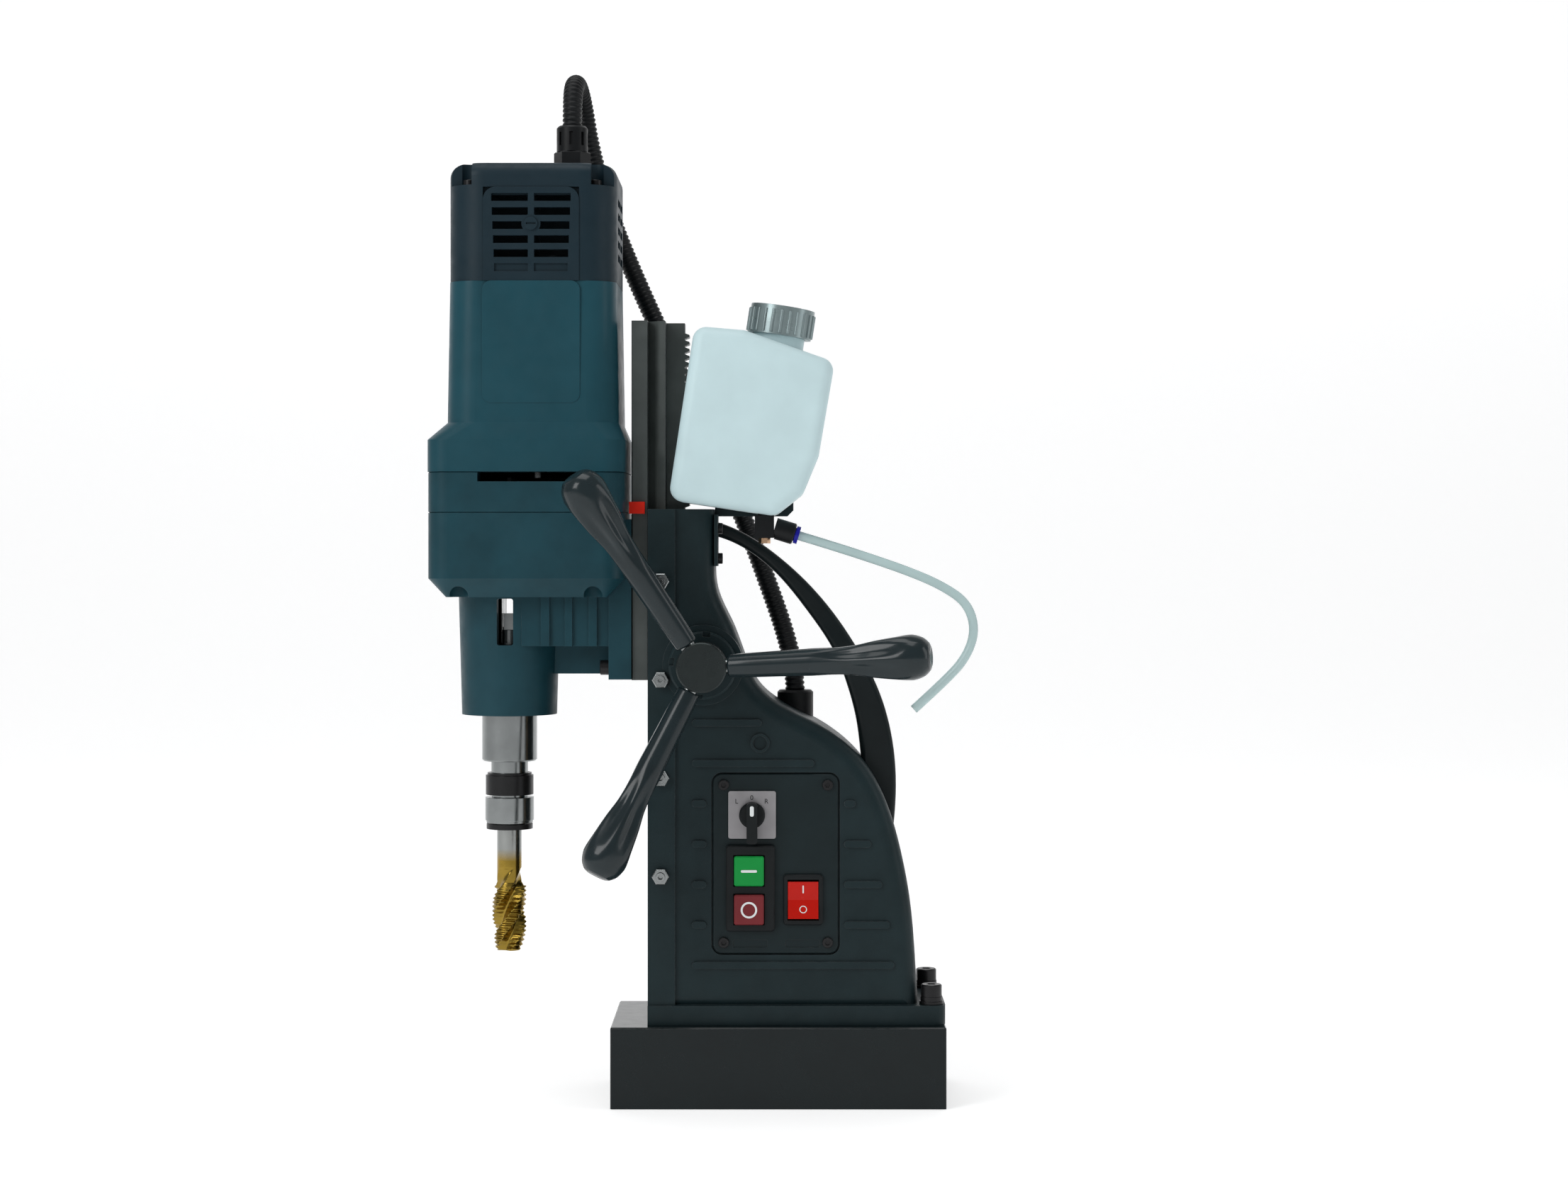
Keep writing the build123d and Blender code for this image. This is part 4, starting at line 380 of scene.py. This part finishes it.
def flat_ring(name, centre_mm, outer, inner, material, body, turn=0.0):
    """Thin printed ring facing -Y, turned about its own X axis."""
    x, y, z = centre_mm
    vertices = []
    for depth in (MARK_FRONT, MARK_BACK):
        for r in (outer, inner):
            for k in range(RING_SIDES):
                a = 2 * math.pi * k / RING_SIDES
                px, pz = r * math.cos(a), r * math.sin(a)
                vertices.append(((x + px) * MM, (y + depth) * MM, (z + pz) * MM))
    faces = []
    o1, i1, o2, i2 = (n * RING_SIDES for n in range(4))
    for k in range(RING_SIDES):
        j = (k + 1) % RING_SIDES
        faces += [(o1 + k, o1 + j, i1 + j, i1 + k), (o2 + k, i2 + k, i2 + j, o2 + j)]
        faces += [(o1 + k, o2 + k, o2 + j, o1 + j), (i1 + k, i1 + j, i2 + j, i2 + k)]
    piece = mesh_piece(name, vertices, faces, smooth=False)
    pivot = Vector((x, y, z)) * MM
    about = Matrix.Translation(pivot) @ Matrix.Rotation(turn, 4, "X") @ Matrix.Translation(-pivot)
    piece.data.transform(about)
    return finished(piece, material, body)


def front(node):
    """Middle x, z and foremost y of a node, in mm."""
    low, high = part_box(node)
    return (low[0] + high[0]) / 2 / MM, low[1] / MM, (low[2] + high[2]) / 2 / MM


flat_bar("start_mark", front("start_button"), (10.6, 1.7), WHITE_INK, "start_button")
flat_ring("stop_mark", front("stop_button"), 5.4, 4.1, WHITE_INK, "stop_button")
knob_x, knob_y, _ = front("selector_knob")
knob_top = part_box("selector_knob")[1][2] / MM
flat_bar("selector_mark", (knob_x, knob_y, knob_top - 5.0), (2.6, 6.8), WHITE_INK, "selector")
plate_x, plate_y, plate_z = front("selector_plate")
for letter, dx, dz in (("L", -10.2, 8.8), ("0", -0.2, 11.2), ("R", 9.4, 8.8)):
    text = bpy.data.curves.new(f"dial_{letter}", "FONT")
    text.body = letter
    text.size = 4.4 * MM
    text.extrude = 0.06 * MM
    text.align_x, text.align_y = "CENTER", "CENTER"
    label = bpy.data.objects.new(f"dial_{letter}", text)
    bpy.context.scene.collection.objects.link(label)
    label.rotation_euler = (math.pi / 2, 0, 0)
    label.location = ((plate_x + dx) * MM, (plate_y - 0.04) * MM, (plate_z + dz) * MM)
    finished(label, BLACK_INK, "frame")

rocker_x, _, rocker_z = front("rocker_switch")
ROCKER_SLOPE = math.atan2(46.6 - 43.2, 12.0)  # the pushed-out half of the rocker leans outwards
flat_bar("rocker_on", (rocker_x, -43.4, rocker_z + 7.0), (0.9, 5.2), WHITE_INK, "rocker")
flat_ring("rocker_off", (rocker_x, -44.9, rocker_z - 6.0), 2.5, 1.9, WHITE_INK, "rocker",
          -ROCKER_SLOPE)

# moulded lever grips with scooped flutes, in place of the plain turned ones
PINION = Vector((-49.65, -73.0, 289.9)) * MM
LEVER_ANGLES, LEVER_RAKE = (3.2, 123.2, 243.2), 12.0
# radius at each distance along the lever, both in mm
GRIP_PROFILE = [
    (7.4, 18.6), (7.9, 30), (8.3, 51), (9.0, 77), (10.3, 99), (13.3, 115), (15.1, 131), (14.8, 138),
    (12.6, 145.5), (9.0, 149.6), (6.5, 150.6),
]
FLUTES, FLUTE_START, FLUTE_END, FLUTE_DEPTH = 6, 72.0, 139.0, 2.3
GRIP_SIDES, GRIP_ROWS, MOULD_LINE, DISHED_END = 96, 150, 0.12, 1.2


def profile_radius(at):
    """Smooth radius of the grip at a distance along it, both in mm."""
    for k in range(len(GRIP_PROFILE) - 1):
        (r1, s1), (r2, s2) = GRIP_PROFILE[k], GRIP_PROFILE[k + 1]
        if at <= s2:
            r0, s0 = GRIP_PROFILE[max(0, k - 1)]
            r3, s3 = GRIP_PROFILE[min(len(GRIP_PROFILE) - 1, k + 2)]
            t = (at - s1) / (s2 - s1)
            m1 = (r2 - r0) / (s2 - s0) * (s2 - s1)
            m2 = (r3 - r1) / (s3 - s1) * (s2 - s1)
            return ((2 * t**3 - 3 * t**2 + 1) * r1 + (t**3 - 2 * t**2 + t) * m1
                    + (3 * t**2 - 2 * t**3) * r2 + (t**3 - t**2) * m2)
    return GRIP_PROFILE[-1][0]


def lever_grip(name, angle):
    """Fluted grip along one lever, with a mould line and a dished end."""
    a, rake = math.radians(angle), math.radians(LEVER_RAKE)
    out = Vector((math.cos(a) * math.cos(rake), -math.sin(rake), math.sin(a) * math.cos(rake)))
    side = Vector((-math.sin(a), 0, math.cos(a)))
    over = out.cross(side)
    first, last = GRIP_PROFILE[0][1], GRIP_PROFILE[-1][1]
    vertices = []
    for n in range(GRIP_ROWS + 1):
        at = first + (last - first) * math.sin(math.pi / 2 * n / GRIP_ROWS)
        radius = profile_radius(at)
        t = (at - FLUTE_START) / (FLUTE_END - FLUTE_START)
        depth = FLUTE_DEPTH * math.sin(math.pi * t**1.4) if 0 < t < 1 else 0.0
        for m in range(GRIP_SIDES):
            turn = 2 * math.pi * m / GRIP_SIDES
            scoop = abs(math.cos(turn * FLUTES / 2)) ** 1.6
            seam = MOULD_LINE if m % (GRIP_SIDES // 2) == GRIP_SIDES // 8 else 0.0
            r = (radius - depth * scoop + seam) * MM
            around = side * math.cos(turn) + over * math.sin(turn)
            vertices.append(PINION + out * at * MM + around * r)
    faces = ring_faces(GRIP_ROWS, GRIP_SIDES)
    for row, at, flip in ((0, first, True), (GRIP_ROWS, last - DISHED_END, False)):
        faces += end_fan(row, GRIP_SIDES, len(vertices), flip)
        vertices.append(PINION + out * at * MM)
    piece = mesh_piece(name, vertices, faces)
    return finished(piece, FINISHES["grip_black"], "feed_hub")


grips = [lever_grip(f"grip_{n}", angle) for n, angle in enumerate(LEVER_ANGLES, 1)]
for grip in grips:
    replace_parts(grip, "lever_grips")

# machine tap with spiral flutes, in place of the straight-fluted one
TAP_AXIS_X = (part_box("tap")[0][0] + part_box("tap")[1][0]) / 2 / MM
TAP_LOW, TAP_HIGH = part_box("tap")[0][2] / MM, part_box("tap")[1][2] / MM
THREAD_HIGH, FLUTE_HIGH, THREAD_PITCH, THREAD_DEPTH = 139.4, 152.0, 3.0, 1.3
TAP_R, TIP_R, TIP_SLOPE, SHANK_R, WEB_R = 11.5, 9.0, 0.19, 8.2, 5.0
FLUTE_LEAD, TAP_FLUTES, FLUTE_SHARE = 78.0, 3, 0.6
THREAD_RUNOUT, FLUTE_FADE = 3.0, 6.0
ROW_STEP, TAP_SIDES = 0.3, 132


def tap_radius(turn, z):
    """Radius of the tap in mm at a direction and height."""
    crest = min(TAP_R, TIP_R + TIP_SLOPE * (z - TAP_LOW))
    if z > THREAD_HIGH:
        blend = min(1.0, (z - THREAD_HIGH) / THREAD_RUNOUT)
        body = (TAP_R - 1.6) * (1 - blend) + SHANK_R * blend
    else:
        wave = abs(((z / THREAD_PITCH + turn / (2 * math.pi)) % 1.0) - 0.5) * 2
        body = crest - THREAD_DEPTH * min(1.0, max(0.0, wave - 0.12) / 0.75)
    around = ((turn - 2 * math.pi * z / FLUTE_LEAD) * TAP_FLUTES / (2 * math.pi)) % 1.0
    fade_from = THREAD_HIGH - FLUTE_FADE
    fade = 1.0 - min(1.0, max(0.0, (z - fade_from) / (FLUTE_HIGH - fade_from)))
    if around < FLUTE_SHARE:
        scoop = math.sin(math.pi * around / FLUTE_SHARE) ** 0.7
        return body - max(0.0, body - WEB_R) * scoop * math.sqrt(fade)
    return body


def spiral_tap():
    """Closed mesh of the whole tap, row by row from its tip."""
    rows = []
    z = TAP_LOW
    while z < FLUTE_HIGH:
        rows.append(z)
        z += ROW_STEP
    rows += [FLUTE_HIGH + 1, 160.0, 165.0, 180.0, TAP_HIGH]
    vertices = []
    for z in rows:
        for m in range(TAP_SIDES):
            turn = 2 * math.pi * m / TAP_SIDES
            r = tap_radius(turn, z)
            px, py = r * math.cos(turn), r * math.sin(turn)
            vertices.append(((TAP_AXIS_X + px) * MM, py * MM, z * MM))
    last = len(rows) - 1
    faces = ring_faces(last, TAP_SIDES)
    for row, flip in ((0, True), (last, False)):
        faces += end_fan(row, TAP_SIDES, len(vertices), flip)
        vertices.append((TAP_AXIS_X * MM, 0, rows[row] * MM))
    piece = mesh_piece("spiral_tap", vertices, faces)
    return finished(piece, FINISHES["tap_gold"], "spindle_group")


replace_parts(spiral_tap(), "tap")

# ---------------------------------------------------------------- stage, light and camera
STAGE_GLOW, STAGE_DROP = 0.55, 0.0002
STAGE_FRONT, STAGE_BACK, STAGE_HALF, STAGE_HIGH, STAGE_BEND = -5.0, 2.2, 6.0, 5.0, 1.0


def stage_material():
    """Plain white that glows a little, so that the floor stays pale."""
    material = bpy.data.materials.new("backdrop")
    material.use_nodes = True
    base = material.node_tree.nodes["Principled BSDF"]
    base.inputs["Base Color"].default_value = (0.7, 0.7, 0.7, 1)
    base.inputs["Emission Color"].default_value = (1, 1, 1, 1)
    base.inputs["Emission Strength"].default_value = STAGE_GLOW
    base.inputs["Roughness"].default_value = 0.9
    return material


def backdrop():
    """Floor that curves up into a wall behind the object."""
    profile = [(STAGE_FRONT, 0.0), (STAGE_BACK, 0.0)]
    for a in [math.radians(9 * k) for k in range(1, 11)]:
        profile.append((STAGE_BACK + STAGE_BEND * math.sin(a), STAGE_BEND * (1.0 - math.cos(a))))
    profile.append((STAGE_BACK + STAGE_BEND, STAGE_HIGH))
    vertices, faces = [], []
    for y, z in profile:
        vertices += [(-STAGE_HALF, y, z - STAGE_DROP), (STAGE_HALF, y, z - STAGE_DROP)]
    for k in range(len(profile) - 1):
        faces.append((2 * k, 2 * k + 1, 2 * k + 3, 2 * k + 2))
    floor = mesh_piece("floor", vertices, faces)
    floor.data.materials.append(stage_material())


backdrop()
MIDDLE = (-0.05, 0, 0.33)


def lamp(name, place, size, power):
    """Soft rectangular light aimed at the middle of the object."""
    light = bpy.data.lights.new(name, "AREA")
    light.shape = "RECTANGLE"
    light.size, light.size_y = size
    light.energy = power
    made = bpy.data.objects.new(name, light)
    made.location = place
    made.rotation_euler = (Vector(MIDDLE) - Vector(place)).to_track_quat("-Z", "Y").to_euler()
    bpy.context.scene.collection.objects.link(made)


lamp("key", (-1.6, -1.7, 1.5), (1.0, 1.4), 24)
lamp("side", (1.9, -0.5, 0.9), (0.5, 1.6), 5)
lamp("top", (-0.2, -0.3, 2.2), (1.6, 1.0), 13)

world = bpy.data.worlds.new("studio")
world.use_nodes = True
world.node_tree.nodes["Background"].inputs["Color"].default_value = (0.96, 0.98, 1.0, 1)
world.node_tree.nodes["Background"].inputs["Strength"].default_value = 0.3
bpy.context.scene.world = world
bpy.context.scene.view_settings.view_transform = "Standard"

camera_data = bpy.data.cameras.new("camera")
camera_data.sensor_width = 36.0
camera_data.lens = 65.88
camera_data.shift_y = -0.031
camera = bpy.data.objects.new("camera", camera_data)
camera.location = (0.0037, -1.930, 0.3723)
camera.rotation_euler = (math.pi / 2, 0, 0)
bpy.context.scene.collection.objects.link(camera)
bpy.context.scene.camera = camera
